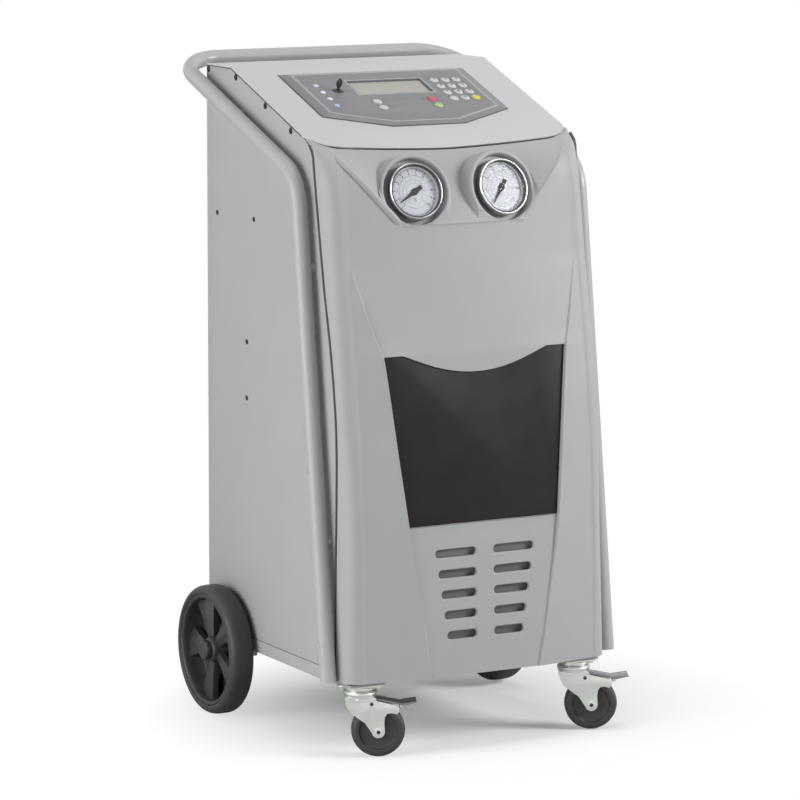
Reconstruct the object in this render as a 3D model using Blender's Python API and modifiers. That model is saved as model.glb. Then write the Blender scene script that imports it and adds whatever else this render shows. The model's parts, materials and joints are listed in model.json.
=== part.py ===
"""Air conditioning service station: a sheet steel cabinet on two wheels and two braked casters.

Metres, +Z up, the front faces -Y, +X is the right-hand side seen from the front.
The origin lies on the floor, below the middle of the whole machine.
"""

import math

import bmesh
import bpy
from mathutils import Matrix, Vector

# Fits and sheet thicknesses
FIT = 0.0003
RUNNING = 0.0004
SEAM = 0.001
SHEET = 0.0015
PAN_SHEET = 0.0025
LID_SHEET = 0.0025
COVER_WALL = 0.003
COVER_COLUMNS = 26
COVER_UNDER_LID = 0.0042
LID_ROOM = 0.0007

# Cabinet
HALF_WIDTH = 0.2767
REAR_Y = 0.252
TOP_Z = 1.2484
BASE_Z = 0.1366
PAN_RISE = 0.0245
TOP_FLAT = 0.104
CONSOLE_RUN = 0.298
CONSOLE_TILT = math.radians(20)
CONSOLE_BACK_Y = REAR_Y - TOP_FLAT
CONSOLE_FRONT_Y = CONSOLE_BACK_Y - CONSOLE_RUN
CONSOLE_FRONT_Z = TOP_Z - CONSOLE_RUN * math.tan(CONSOLE_TILT)
NOSE_BOW = 0.0365
NOSE_DROP = 0.0147

# Front cover: heights from the floor, and how far each line stands forward of the console's edge
COVER_BOTTOM = 0.146
COVER_CORNER = 0.0287
COVER_FLARE = 0.006
COVER_FLARE_TOP = 0.42
LABEL_BOTTOM = 0.4314
LABEL_TOP = 0.745
CREASE_TOP = 0.9076
SHOULDER_SHARE = 0.95
FACET_FOOT_Z = 0.9786
FACET_FOOT_X = 0.129
FACET_SIDE_RUN = 0.892
FLAT_ROWS_TOP = 1.09
SEAM_TURN = 1.10
SEAM_LINE = [(0.146, 0.135), (0.38, 0.1265), (0.60, 0.1265), (0.74, 0.1075), (0.87, 0.0785), (1.03, 0.049),
             (1.10, 0.037)]
RIDGE_LINE = [(0.146, 0.1805), (0.348, 0.175), (0.525, 0.165), (0.612, 0.155), (0.709, 0.141),
              (0.805, 0.1245),
              (0.9076, 0.108), (0.98, 0.097), (1.04, 0.088), (1.066, 0.082), (1.095, 0.069), (1.115, 0.051),
              (1.127, 0.0365)]
APRON_LINE = [(0.146, 0.1985), (0.223, 0.2005), (0.30, 0.1985), (0.377, 0.195), (0.4314, 0.1897)]
LABEL_LINE = [(0.4314, 0.1897), (0.745, 0.1535)]
SHOULDER_LINE = [(0.745, 0.1535), (0.7702, 0.1435), (0.9076, 0.108)]
MIDDLE_LINE = [(0.745, 0.1535), (0.9786, 0.110), (1.15, 0.078)]
CREASE_HALF = [(0.146, 0.117), (0.291, 0.139), (0.4314, 0.1605), (0.587, 0.1776), (0.745, 0.195),
               (0.7702, 0.204),
               (0.9076, 0.240)]

# Black plate on the cover
LABEL_DEPTH = 0.0015
LABEL_MARGIN = 0.002
LABEL_DIP = 0.0378
LABEL_EAR = 0.040

# Air slots
SLOT_ROWS = 5
SLOT_HIGH = 0.0155
SLOT_PITCH = 0.03855
SLOT_LOWEST_Z = 0.2231
SLOT_INNER_X = 0.0182
SLOT_OUTER_TOP_X = 0.1053
SLOT_OUTER_STEP = 0.0059

# Pressure gauges
GAUGE_X = 0.0931
GAUGE_Z = CONSOLE_FRONT_Z - 0.0994
GAUGE_LEAN = math.radians(18)
GAUGE_TOE = math.radians(4.5)
GAUGE_CASE_R = 0.0495
GAUGE_BEZEL_R = 0.053
GAUGE_BEZEL_DEPTH = 0.011
GAUGE_LENGTH = 0.055
GAUGE_FRONT_Y = CONSOLE_FRONT_Y - 0.0945
GAUGE_WALL = 0.002
DIAL_BACK = 0.0095
POINTER_REST = {-1: 212.0, 1: 232.0}
DIAL_R = 0.0475
HOOD_R = 0.072
HOOD_BORE_R = 0.0635
HOOD_BACK = 0.0047
HOOD_FLOOR = 0.034
HOOD_FOOT = (0.0595, 0.066)
HOOD_SINK = 0.0006
STEM_R = 0.007
STEM_REACH = 0.030
GAUGE_PIPE_R = 0.004

# Handle tube
TUBE_R = 0.015
TUBE_WALL = 0.002
TUBE_OFFSET = 0.0233
TUBE_BELOW_CONSOLE = 0.0608
TUBE_BEND = 0.085
TUBE_REACH = 0.084
TUBE_FOOT_Z = 0.147
TUBE_FOOT_Y = -0.2885
TUBE_LEG_LEAN = 0.1326
SPACER_R = 0.006

# Rear wheels
AXLE_Y = 0.159
WHEEL_R = 0.125
WHEEL_WIDE = 0.048
WHEEL_FACE_X = HALF_WIDTH + 0.0568
TYRE_THICK = 0.017
DISH_R = 0.1005
DISH_DEPTH = 0.020
HUB_R = 0.024
SPOKES = 5
SPOKE_START = math.radians(90)
SPOKE_HALF = 14.0
WEB_THICK = 0.006
HUB_SINK = 0.003
AXLE_R = 0.008
CAP_R = 0.019
CAP_PROUD = 0.0045
CAP_FOOT = 0.0045

# Casters
CASTER_X = HALF_WIDTH - 0.0462
CASTER_Y = -0.283
CASTER_TURN = math.radians(-27)
CASTER_TRAIL = 0.033
CASTER_R = 0.050
CASTER_WIDE = 0.034
CASTER_CHEEK = 0.0025
CASTER_HEAD_R = 0.030
FORK_TOP = 0.1255
FORK_CROWN = 0.1135
PLATE_HALF_X = 0.033
PLATE_FORWARD = 0.028
PLATE_BACK = 0.030
PLATE_THICK = 0.003
KINGPIN_R = 0.005
KINGPIN_HEAD_R = 0.009
KINGPIN_HEAD = 0.0065
WHEEL_ROOM = 0.0018
BOLT_R = 0.004
BOLT_HEAD_R = 0.0075
BOLT_HEAD = 0.004
FORK_FOOT_R = 0.0125
PEDAL_PIN = (0.0205, 0.1093)
PEDAL_PIN_R = 0.0022
PEDAL_ARM_WIDE = CASTER_WIDE - 0.003
PEDAL_TREAD_WIDE = CASTER_WIDE + 0.008
TREAD_EDGE = 0.009
RIM_R = 0.036
DISC_SINK = 0.005
BOSS_R = 0.013
BOSS_PROUD = 0.0008

# Machinery
TANK_PLACE = (0.140, 0.120)
TANK_R = 0.100
TANK_TALL = 0.44
TANK_WALL = 0.003
TANK_BORE = 0.006
POT_PLACE = (-0.165, 0.150)
POT_R = 0.075
POT_WALL = 0.004
POT_DRAIN_R = 0.010
FAN_R = 0.088
UPRIGHT_Y = -0.030
UPRIGHT_HALF = HALF_WIDTH - 0.0367
UPRIGHT_TOP = TOP_Z - 0.1734
MANIFOLD_DEEP = 0.034

SCALE_TALL = 0.036
SCALE_BASE = 0.008
SCALE_TOP = 0.006
CELL_HALF = 0.016
TANK_FOOT_R = TANK_R - 0.014
TANK_FOOT_TALL = 0.055
TANK_SHOULDER = 0.090
TANK_NECK_R = 0.020
TANK_VALVE = (0.012, 0.035)
POT_TALL = 0.195
POT_FOOT = 0.010
POT_PORT_Z = 0.13
POT_PORT_R = 0.006
PUMP_X = -0.021
PUMP_FOOT = (0.000, 0.215, 0.012)
PUMP_CASE = (0.020, 0.095, 0.120)
PUMP_HALF = 0.037
PUMP_MOTOR_R = 0.036
PUMP_MOTOR_Z = 0.060
COIL_Y = -0.205
COIL_HALF = 0.120
COIL_DEEP = 0.038
COIL_TALL = 0.225
SHROUD_HALF = 0.110
SHROUD_DEEP = 0.080
FAN_Z = 0.110
FAN_SET = 0.060
FAN_HUB_R = 0.020
FAN_HUB_HALF = 0.012
FAN_SHAFT_R = 0.004
FAN_BLADES = 5
FAN_PITCH = math.radians(17)
FAN_MOTOR_R = 0.024
ARM_HALF = 0.004
ARM_SET = 0.0785
MANIFOLD_HALF = (0.135, 0.022)
VALVE_X = (-0.05, 0.0, 0.05)
VALVE_R = 0.013
VALVE_TALL = 0.038

# Rear fittings
INLET_X = 0.165
INLET_Z = 0.235
INLET_HALF = (0.0135, 0.0235)
PORT_X = (-0.045, 0.045)
PORT_Z = 0.86
PORT_R = 0.011

# Control panel: x, distance up the slope, height off the lid
PANEL_HALF_X = 0.1985
PANEL_TOP_S = 0.2687
PANEL_SIDE_S = 0.0797
PANEL_NOSE_S = 0.0266
PANEL_NOSE_X = 0.0765
PANEL_HIGH = 0.0056
PANEL_BEVEL = 0.016
WINDOW_HALF_X = 0.0795
WINDOW_LOW_S = 0.1604
WINDOW_HIGH_S = 0.2206
WINDOW_DEEP = 0.0030
KEY_R = 0.0098
KEY_PROUD = 0.0022
KEY_TRAVEL = 0.0008
KEYPAD_X = 0.1053
KEYPAD_S = 0.1250
KEY_STEP_X = 0.0240
KEY_STEP_S = 0.0278
COMMAND_X = 0.0573
MENU_X = -0.0612
COMMAND_STEP_S = 0.0274
LAMP_X = -0.1512
LAMP_LOW_S = 0.1155
LAMP_STEP_S = 0.0299
LAMP_R = 0.0045
DOT_X = 0.0397
DOT_R = 0.0022
DOT_LIFT = 0.0027
LAMP_PROUD = 0.0006
KEY_STEM_R = 0.0058
WELL_ROOM = 0.0015
LOCK_X = -0.1175
LOCK_S = 0.1791
LOCK_R = 0.0085
BOARD_DEEP = 0.014
BOARD_THICK = 0.0016

# Frames that stand an outline drawn flat in X and Y upright, facing the front or the side
UPRIGHT = Matrix.Rotation(math.pi / 2, 4, "X")
SIDEWAYS = Matrix(((0, 0, 1, 0), (1, 0, 0, 0), (0, 1, 0, 0), (0, 0, 0, 1)))

COLLECTION = "ac_service_station"
HELPERS = "cutters"


def start_scene():
    for old in list(bpy.data.objects):
        bpy.data.objects.remove(old, do_unlink=True)
    for name in (COLLECTION, HELPERS):
        made = bpy.data.collections.new(name)
        bpy.context.scene.collection.children.link(made)
    bpy.data.collections[HELPERS].hide_render = True


def srgb(text):
    channels = [int(text[i:i + 2], 16) / 255 for i in (0, 2, 4)]
    return [c / 12.92 if c <= 0.04045 else ((c + 0.055) / 1.055) ** 2.4 for c in channels] + [1.0]


def material(name, colour, roughness, metallic=0.0):
    made = bpy.data.materials.get(name)
    if made is None:
        made = bpy.data.materials.new(name)
        made.use_nodes = True
        shader = made.node_tree.nodes["Principled BSDF"]
        shader.inputs["Base Color"].default_value = srgb(colour)
        shader.inputs["Roughness"].default_value = roughness
        shader.inputs["Metallic"].default_value = metallic
    return made


SILVER = ("silver_paint", "b4b7b7", 0.42, 0.3)
PALE = ("pale_silver_paint", "c6c9ca", 0.42, 0.3)
GREY = ("grey_plastic", "8f9093", 0.5)
KEY_GREY = ("key_plastic", "c9cacc", 0.45)
BLACK = ("black_plastic", "232224", 0.45)
RUBBER = ("black_rubber", "2b2a2a", 0.75)
ZINC = ("zinc_plate", "d5d8d2", 0.35, 0.9)
STEEL = ("bright_steel", "c4c6c8", 0.3, 1.0)
DARK_STEEL = ("dark_steel", "4a4d4f", 0.4, 0.9)
WHITE = ("dial_white", "e8eaee", 0.5)
GLASS = ("clear_glass", "dfe6ea", 0.05)
RED = ("red_key", "c8485e", 0.45)
GREEN = ("green_key", "9fce7a", 0.45)
YELLOW = ("yellow_key", "e2d24a", 0.45)
ALUMINIUM = ("aluminium", "b9bcbf", 0.35, 1.0)
BLUE_TANK = ("tank_enamel", "4d6a8c", 0.4)
BOARD = ("circuit_board", "2f6b45", 0.5)


def link(name, mesh, group=HELPERS):
    made = bpy.data.objects.new(name, mesh)
    bpy.data.collections[group].objects.link(made)
    return made


def from_bmesh(name, shape):
    bmesh.ops.recalc_face_normals(shape, faces=shape.faces[:])
    mesh = bpy.data.meshes.new(name)
    shape.to_mesh(mesh)
    shape.free()
    return link(name, mesh)


def block(low, high, bevel=0.0):
    shape = bmesh.new()
    bmesh.ops.create_cube(shape, size=1.0)
    size = [h - l for l, h in zip(low, high)]
    middle = [(h + l) / 2 for l, h in zip(low, high)]
    bmesh.ops.transform(shape, matrix=Matrix.Translation(middle) @ Matrix.Diagonal(size + [1]),
                        verts=shape.verts)
    if bevel:
        bmesh.ops.bevel(shape, geom=shape.edges[:], offset=bevel, segments=2, affect="EDGES", profile=0.5)
    return from_bmesh("block", shape)


def along(axis):
    return Vector(axis).normalized().to_track_quat("Z", "Y").to_matrix().to_4x4()


def rod(start, end, radius, sides=16, end_radius=None):
    start, end = Vector(start), Vector(end)
    shape = bmesh.new()
    place = Matrix.Translation((start + end) / 2) @ along(end - start)
    bmesh.ops.create_cone(shape, cap_ends=True, segments=sides, radius1=radius,
                          radius2=radius if end_radius is None else end_radius,
                          depth=(end - start).length, matrix=place)
    return from_bmesh("rod", shape)


def turned(profile, place, steps=32):
    """A ring or disc turned about local Z from (radius, height) points, closed on itself or on the axis."""
    mesh = bpy.data.meshes.new("turned")
    count = len(profile)
    on_axis = profile[0][0] == 0.0 and profile[-1][0] == 0.0
    edges = [(i, (i + 1) % count) for i in range(count - 1 if on_axis else count)]
    mesh.from_pydata([(r, 0.0, h) for r, h in profile], edges, [])
    made = link("turned", mesh)
    screw = made.modifiers.new("Screw", "SCREW")
    screw.steps = screw.render_steps = steps
    screw.use_merge_vertices = True
    screw.merge_threshold = 0.00001
    screw.use_normal_calculate = True
    made = settled(made)
    made.data.transform(place)
    return outward(made)


def outward(made):
    shape = bmesh.new()
    shape.from_mesh(made.data)
    bmesh.ops.remove_doubles(shape, verts=shape.verts, dist=0.00001)
    bmesh.ops.recalc_face_normals(shape, faces=shape.faces[:])
    shape.to_mesh(made.data)
    shape.free()
    return made


def settled(made):
    """The object with its modifiers applied, or a curve made a mesh."""
    bpy.context.view_layer.update()
    graph = bpy.context.evaluated_depsgraph_get()
    mesh = bpy.data.meshes.new_from_object(made.evaluated_get(graph))
    fresh = link(made.name, mesh)
    mesh.transform(made.matrix_world)
    bpy.data.objects.remove(made, do_unlink=True)
    return fresh


def flat_outline(points, thickness, place):
    """A plate of this outline in local X and Y, centred on local Z = 0, moved by place."""
    curve = bpy.data.curves.new("outline", "CURVE")
    curve.dimensions = "2D"
    curve.fill_mode = "BOTH"
    curve.extrude = thickness / 2
    spline = curve.splines.new("POLY")
    spline.points.add(len(points) - 1)
    for knot, (x, y) in zip(spline.points, points):
        knot.co = (x, y, 0.0, 1.0)
    spline.use_cyclic_u = True
    made = settled(link("outline", curve))
    made.data.transform(place)
    return outward(made)


def arc(centre, radius, start, end, count):
    """Points on a circle from one angle to another, in degrees."""
    turn = [math.radians(start + (end - start) * i / count) for i in range(count + 1)]
    return [(centre[0] + radius * math.cos(a), centre[1] + radius * math.sin(a)) for a in turn]


def stadium(length, height, steps=4):
    reach = length / 2 - height / 2
    return arc((reach, 0), height / 2, -90, 90, steps) + arc((-reach, 0), height / 2, 90, 270, steps)


def combine(base, others, operation):
    """Joins or cuts solids; the tools are removed."""
    for other in others:
        step = base.modifiers.new("Boolean", "BOOLEAN")
        step.operation = operation
        step.solver = "EXACT"
        step.object = other
    fresh = settled(base)
    for other in others:
        bpy.data.objects.remove(other, do_unlink=True)
    return fresh


def join(base, *others):
    return combine(base, others, "UNION")


def cut(base, *others):
    return combine(base, others, "DIFFERENCE")


def node(name, made, finish, pivot=None):
    """Names a finished solid, gives it its material and puts its origin on its pivot."""
    bpy.data.collections[HELPERS].objects.unlink(made)
    bpy.data.collections[COLLECTION].objects.link(made)
    made.name = name
    made.data.name = name
    made.data.materials.clear()
    made.data.materials.append(material(*finish))
    made.data.shade_smooth()
    made.data.set_sharp_from_angle(angle=math.radians(35))
    if pivot is not None:
        made.data.transform(Matrix.Translation(-Vector(pivot)))
        made.location = pivot
    return made


def smooth_line(points, height):
    """A smooth curve through (height, value) points, straight beyond its ends."""
    if height <= points[0][0]:
        return points[0][1]
    if height >= points[-1][0]:
        return points[-1][1]
    slopes = []
    for i in range(len(points)):
        low, high = points[max(i - 1, 0)], points[min(i + 1, len(points) - 1)]
        slopes.append((high[1] - low[1]) / (high[0] - low[0]))
    for i in range(len(points) - 1):
        (h0, v0), (h1, v1) = points[i], points[i + 1]
        if height <= h1:
            span = h1 - h0
            t = (height - h0) / span
            return (v0 * (1 + 2 * t) * (1 - t) ** 2 + v1 * t * t * (3 - 2 * t)
                    + slopes[i] * span * t * (1 - t) ** 2 + slopes[i + 1] * span * t * t * (t - 1))
    return points[-1][1]


def console_z(y):
    """Height of the console's plane, or of the flat top behind it."""
    return min(TOP_Z, CONSOLE_FRONT_Z + (y - CONSOLE_FRONT_Y) * math.tan(CONSOLE_TILT))


def lid_edge(x):
    """Front edge of the lid: bowed forward and dropped in the middle."""
    share = min(abs(x) / HALF_WIDTH, 1.0)
    y = CONSOLE_FRONT_Y - NOSE_BOW * (1 - share ** 16)
    return y, console_z(y) - NOSE_DROP * (1 - share ** 1.5)


def ahead(line, z):
    return CONSOLE_FRONT_Y - smooth_line(line, z)


def side_seam_y(z):
    """Where the cover meets the side panels."""
    if z <= SEAM_TURN:
        return ahead(SEAM_LINE, z)
    share = min((z - SEAM_TURN) / (CONSOLE_FRONT_Z - SEAM_TURN), 1.0)
    return ahead(SEAM_LINE, SEAM_TURN) + SEAM_LINE[-1][1] * share ** 2


def cover_half_width(z):
    drop = max(0.0, (COVER_FLARE_TOP - z) / (COVER_FLARE_TOP - COVER_BOTTOM))
    return HALF_WIDTH + COVER_FLARE * drop


def crease_half(z):
    """Half the width of the cover's raised middle, and above it of the facet that carries the gauges."""
    widest = SHOULDER_SHARE * (HALF_WIDTH - COVER_CORNER)
    if z <= CREASE_TOP:
        return min(smooth_line(CREASE_HALF, z), widest)
    if z <= FACET_FOOT_Z:
        return widest + (FACET_FOOT_X - widest) * (z - CREASE_TOP) / (FACET_FOOT_Z - CREASE_TOP)
    return min(FACET_FOOT_X + FACET_SIDE_RUN * (z - FACET_FOOT_Z), widest)


def tongue_y(x, z):
    """The cover's bowed face above the label."""
    across = abs(x)
    edge = HALF_WIDTH - COVER_CORNER
    half = crease_half(z) if z < CREASE_TOP else SHOULDER_SHARE * edge
    ridge = ahead(RIDGE_LINE, z)
    shoulder = ahead(SHOULDER_LINE, z) if z < CREASE_TOP else ridge
    middle = ahead(MIDDLE_LINE, z)
    if across <= half:
        return middle + (shoulder - middle) * (across / half) ** 2
    return shoulder + (ridge - shoulder) * min((across - half) / (edge - half), 1.0)


def facet_y(x, z):
    """The facet leans back from its lower edge on the bowed face to the lid's front edge."""
    foot = FACET_FOOT_Z + max(0.0, abs(x) - FACET_FOOT_X) / FACET_SIDE_RUN
    if z <= foot:
        return tongue_y(x, z)
    start = tongue_y(x, foot)
    edge_y, edge_z = lid_edge(x)
    return start + (edge_y - start) * min((z - foot) / max(edge_z - foot, SEAM), 1.0)


def front_y(x, z):
    """The cover's outer face ahead of a point."""
    if z >= LABEL_TOP:
        return facet_y(x, z)
    across = abs(x)
    edge = HALF_WIDTH - COVER_CORNER
    ridge = ahead(RIDGE_LINE, z)
    middle = ahead(APRON_LINE if z < LABEL_BOTTOM else LABEL_LINE, z)
    half = crease_half(z)
    if across <= half:
        return middle
    return middle + (ridge - middle) * min((across - half) / (edge - half), 1.0)


def cover_column(share, z):
    """A point of the cover's outer face: share runs from -1 at the left seam to 1 at the right seam."""
    corner_share = 0.16
    side = 1 if share >= 0 else -1
    amount = abs(share)
    edge = HALF_WIDTH - COVER_CORNER
    if amount <= 1 - corner_share:
        inner_share = 0.68 / (1 - corner_share)
        run = amount / (1 - corner_share)
        half = crease_half(z)
        if run <= inner_share:
            x = half * run / inner_share
        else:
            x = half + (edge - half) * (run - inner_share) / (1 - inner_share)
        return side * x, front_y(x, z)
    turn = (1 - amount) / corner_share * math.pi / 2
    seam = side_seam_y(z)
    x = edge + (cover_half_width(z) - edge) * math.cos(turn)
    return side * x, seam + (front_y(edge, z) - seam) * math.sin(turn)


def cover_face(columns, levels):
    """The cover's outer face as an open sheet of quads."""
    shape = bmesh.new()
    rows = []
    for level in levels:
        row = []
        for i in range(columns + 1):
            share = -1 + 2 * i / columns
            z = min(level, CONSOLE_FRONT_Z)
            x, y = cover_column(share, z)
            if level > FLAT_ROWS_TOP:
                climb = (level - FLAT_ROWS_TOP) / (CONSOLE_FRONT_Z - FLAT_ROWS_TOP)
                base_x, _ = cover_column(share, FLAT_ROWS_TOP)
                top = lid_edge(base_x)[1] - COVER_UNDER_LID
                z = FLAT_ROWS_TOP + climb * (top - FLAT_ROWS_TOP)
                x, y = cover_column(share, z)
            row.append(shape.verts.new((x, y, z)))
        rows.append(row)
    for low, high in zip(rows, rows[1:]):
        for i in range(columns):
            shape.faces.new((low[i], low[i + 1], high[i + 1], high[i]))
    mesh = bpy.data.meshes.new("cover")
    shape.to_mesh(mesh)
    shape.free()
    return link("cover", mesh)


def cover_levels():
    """Heights of the cover's rows, with one on each of its creases."""
    spans = ((COVER_BOTTOM, LABEL_BOTTOM, 5), (LABEL_BOTTOM, LABEL_TOP, 4), (LABEL_TOP, CREASE_TOP, 4),
             (CREASE_TOP, FACET_FOOT_Z, 2), (FACET_FOOT_Z, FLAT_ROWS_TOP, 4))
    rows = [low + (high - low) * i / count for low, high, count in spans for i in range(count)]
    return rows + [FLAT_ROWS_TOP + (CONSOLE_FRONT_Z - FLAT_ROWS_TOP) * i / 3 for i in range(4)]


def label_place():
    """Local X across, Y up the plate, Z out of its face; the origin is mid-width at its bottom edge."""
    foot = Vector((0, ahead(LABEL_LINE, LABEL_BOTTOM), LABEL_BOTTOM))
    head = Vector((0, ahead(LABEL_LINE, LABEL_TOP), LABEL_TOP))
    up = (head - foot).normalized()
    out = Vector((1, 0, 0)).cross(up)
    frame = Matrix((Vector((1, 0, 0)), up, out)).transposed().to_4x4()
    return Matrix.Translation(foot) @ frame, (head - foot).length


def label_outline(inset):
    _, tall = label_place()
    low_half = crease_half(LABEL_BOTTOM) - LABEL_MARGIN - inset
    high_half = crease_half(LABEL_TOP) - LABEL_MARGIN - inset
    ear = high_half - LABEL_EAR
    radius = (ear ** 2 + LABEL_DIP ** 2) / (2 * LABEL_DIP)
    reach = math.degrees(math.asin(ear / radius))
    dip = arc((0, tall - inset - LABEL_DIP + radius), radius, 270 + reach, 270 - reach, 10)
    return [(-low_half, inset), (low_half, inset),
            (high_half, tall - inset)] + dip + [(-high_half, tall - inset)]


def gauge_place(side):
    """Local Z out of the gauge's face, which leans back and turns outwards; the origin is its middle."""
    turn = Matrix.Rotation(side * GAUGE_TOE, 4, "Z") @ Matrix.Rotation(math.pi / 2 - GAUGE_LEAN, 4, "X")
    return Matrix.Translation((side * GAUGE_X, GAUGE_FRONT_Y, GAUGE_Z)) @ turn


def hood(side):
    """The collar round a gauge: round above, with its inner side straight down to the facet's lower edge."""
    across, down = HOOD_FOOT
    rim = arc((0, 0), HOOD_R, -90, 180, 24) + [(-across, -down)]
    outline = [(side * x, y) for x, y in rim]
    deep = HOOD_FLOOR + 2 * COVER_WALL - HOOD_BACK
    place = gauge_place(side) @ Matrix.Translation((0, 0, -HOOD_BACK - deep / 2))
    solid = flat_outline(outline, deep, place)
    for vertex in solid.data.vertices:
        vertex.co.y = max(vertex.co.y, tongue_y(vertex.co.x, vertex.co.z) + HOOD_SINK)
    return solid


def slot_cutters():
    cutters = []
    deep = ahead(APRON_LINE, COVER_BOTTOM)
    for row in range(SLOT_ROWS):
        z = SLOT_LOWEST_Z + SLOT_PITCH * row
        outer = SLOT_OUTER_TOP_X - SLOT_OUTER_STEP * (SLOT_ROWS - 1 - row)
        for side in (-1, 1):
            middle = side * (SLOT_INNER_X + outer) / 2
            place = Matrix.Translation((middle, deep, z)) @ UPRIGHT
            cutters.append(flat_outline(stadium(outer - SLOT_INNER_X, SLOT_HIGH), 0.06, place))
    return cutters


def cover_tabs():
    """Flanges behind the side panels, where the cover is screwed on."""
    tabs = []
    for z in (0.46, 0.72, 0.97):
        seam = side_seam_y(z)
        for side in (-1, 1):
            outer, inner = HALF_WIDTH - SHEET - 2 * FIT, HALF_WIDTH - SHEET - 0.0055
            low = (min(side * outer, side * inner), seam - 0.014, z - 0.018)
            high = (max(side * outer, side * inner), seam + 0.016, z + 0.018)
            tabs.append(block(low, high))
    return tabs


def front_cover():
    shell = cover_face(COVER_COLUMNS, cover_levels())
    wall = shell.modifiers.new("Solidify", "SOLIDIFY")
    wall.thickness = COVER_WALL
    wall.offset = -1
    wall.use_even_offset = False
    shell = outward(settled(shell))
    for vertex in shell.data.vertices:
        if abs(vertex.co.x) > HALF_WIDTH - 2 * COVER_WALL:
            vertex.co.y = min(vertex.co.y, side_seam_y(vertex.co.z))
    shell = join(shell, hood(-1), hood(1), *cover_tabs())
    seat = flat_outline(label_outline(0.0), 2 * LABEL_DEPTH, label_place()[0])
    bores = []
    for side in (-1, 1):
        place = gauge_place(side)
        bores.append(rod(place @ Vector((0, 0, GAUGE_LENGTH)), place @ Vector((0, 0, -HOOD_FLOOR)),
                         HOOD_BORE_R, 32))
        bores.append(rod(place @ Vector((0, 0, GAUGE_LENGTH)), place @ Vector((0, 0, -2 * GAUGE_LENGTH)),
                         GAUGE_CASE_R + FIT, 28))
    shell = cut(shell, seat, *bores, *slot_cutters())
    node("front_cover", outward(shell), SILVER)


def label_plate():
    place, _ = label_place()
    lift = Matrix.Translation((0, 0, -LABEL_DEPTH / 2 + FIT / 2))
    plate = flat_outline(label_outline(FIT), LABEL_DEPTH - FIT, place @ lift)
    node("label_plate", plate, BLACK)


def side_outline():
    """The side panel in Y and Z, from its rear foot round over the top to its front foot."""
    foot = BASE_Z + PAN_RISE + FIT
    under = LID_SHEET + LID_ROOM
    fall = under / math.cos(CONSOLE_TILT)
    share = (foot - COVER_BOTTOM) / (cover_levels()[1] - COVER_BOTTOM)
    low_y = side_seam_y(COVER_BOTTOM)
    foot_y = low_y + (side_seam_y(cover_levels()[1]) - low_y) * share
    heights = [z for z in cover_levels() if z > foot]
    climb = (CONSOLE_FRONT_Z - COVER_UNDER_LID - FLAT_ROWS_TOP) / (CONSOLE_FRONT_Z - FLAT_ROWS_TOP)
    heights = [FLAT_ROWS_TOP + (z - FLAT_ROWS_TOP) * climb if z > FLAT_ROWS_TOP else z for z in heights]
    seam = [(foot_y + SEAM, foot)] + [(side_seam_y(z) + SEAM, z) for z in heights]
    seam = [point for point in seam if point[1] < console_z(point[0]) - fall - SEAM]
    knee = CONSOLE_BACK_Y - under * math.tan(CONSOLE_TILT / 2)
    top = [(CONSOLE_FRONT_Y + SEAM, console_z(CONSOLE_FRONT_Y + SEAM) - fall), (knee, TOP_Z - under),
           (REAR_Y, TOP_Z - under)]
    return seam + top + [(REAR_Y, foot)]


def side_panels():
    turn = SIDEWAYS
    for name, side in (("side_panel_left", -1), ("side_panel_right", 1)):
        place = Matrix.Translation((side * (HALF_WIDTH - SHEET / 2), 0, 0)) @ turn
        node(name, flat_outline(side_outline(), SHEET, place), SILVER)


def chassis():
    """Floor pan with raised sides, caster lugs, axle brackets and the upright that carries the fittings."""
    wide = HALF_WIDTH
    front = side_seam_y(COVER_BOTTOM) + 0.006
    rear = REAR_Y - SHEET - FIT
    rim = BASE_Z + PAN_RISE
    pan = block((-wide, front, BASE_Z), (wide, rear, rim))
    hollow = block((-wide + PAN_SHEET, front + PAN_SHEET, BASE_Z + PAN_SHEET),
                   (wide - PAN_SHEET, rear - PAN_SHEET, rim + PAN_RISE))
    pan = cut(pan, hollow)
    pieces = []
    for side in (-1, 1):
        x = side * CASTER_X
        pieces.append(block((x - 0.036, CASTER_Y - 0.030, BASE_Z),
                            (x + 0.036, front + 0.02, BASE_Z + PAN_SHEET + 0.002)))
        lug = side * (wide - 0.034)
        pieces.append(block((lug - 0.014, AXLE_Y - 0.019, WHEEL_R - 0.018),
                            (lug + 0.014, AXLE_Y + 0.019, BASE_Z + 0.001)))
    pieces.append(block((-UPRIGHT_HALF, UPRIGHT_Y, BASE_Z + 0.001),
                        (UPRIGHT_HALF, UPRIGHT_Y + PAN_SHEET, UPRIGHT_TOP)))
    for side in (-1, 1):
        x = side * (UPRIGHT_HALF - PAN_SHEET)
        pieces.append(block((x - PAN_SHEET, UPRIGHT_Y + 0.001, BASE_Z + 0.001),
                            (x + PAN_SHEET, UPRIGHT_Y + 0.035, UPRIGHT_TOP + 0.0001)))
    pan = join(pan, *pieces)
    bore = rod((-wide, AXLE_Y, WHEEL_R), (wide, AXLE_Y, WHEEL_R), AXLE_R + FIT, 20)
    node("chassis", outward(cut(pan, bore)), SILVER)


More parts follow.
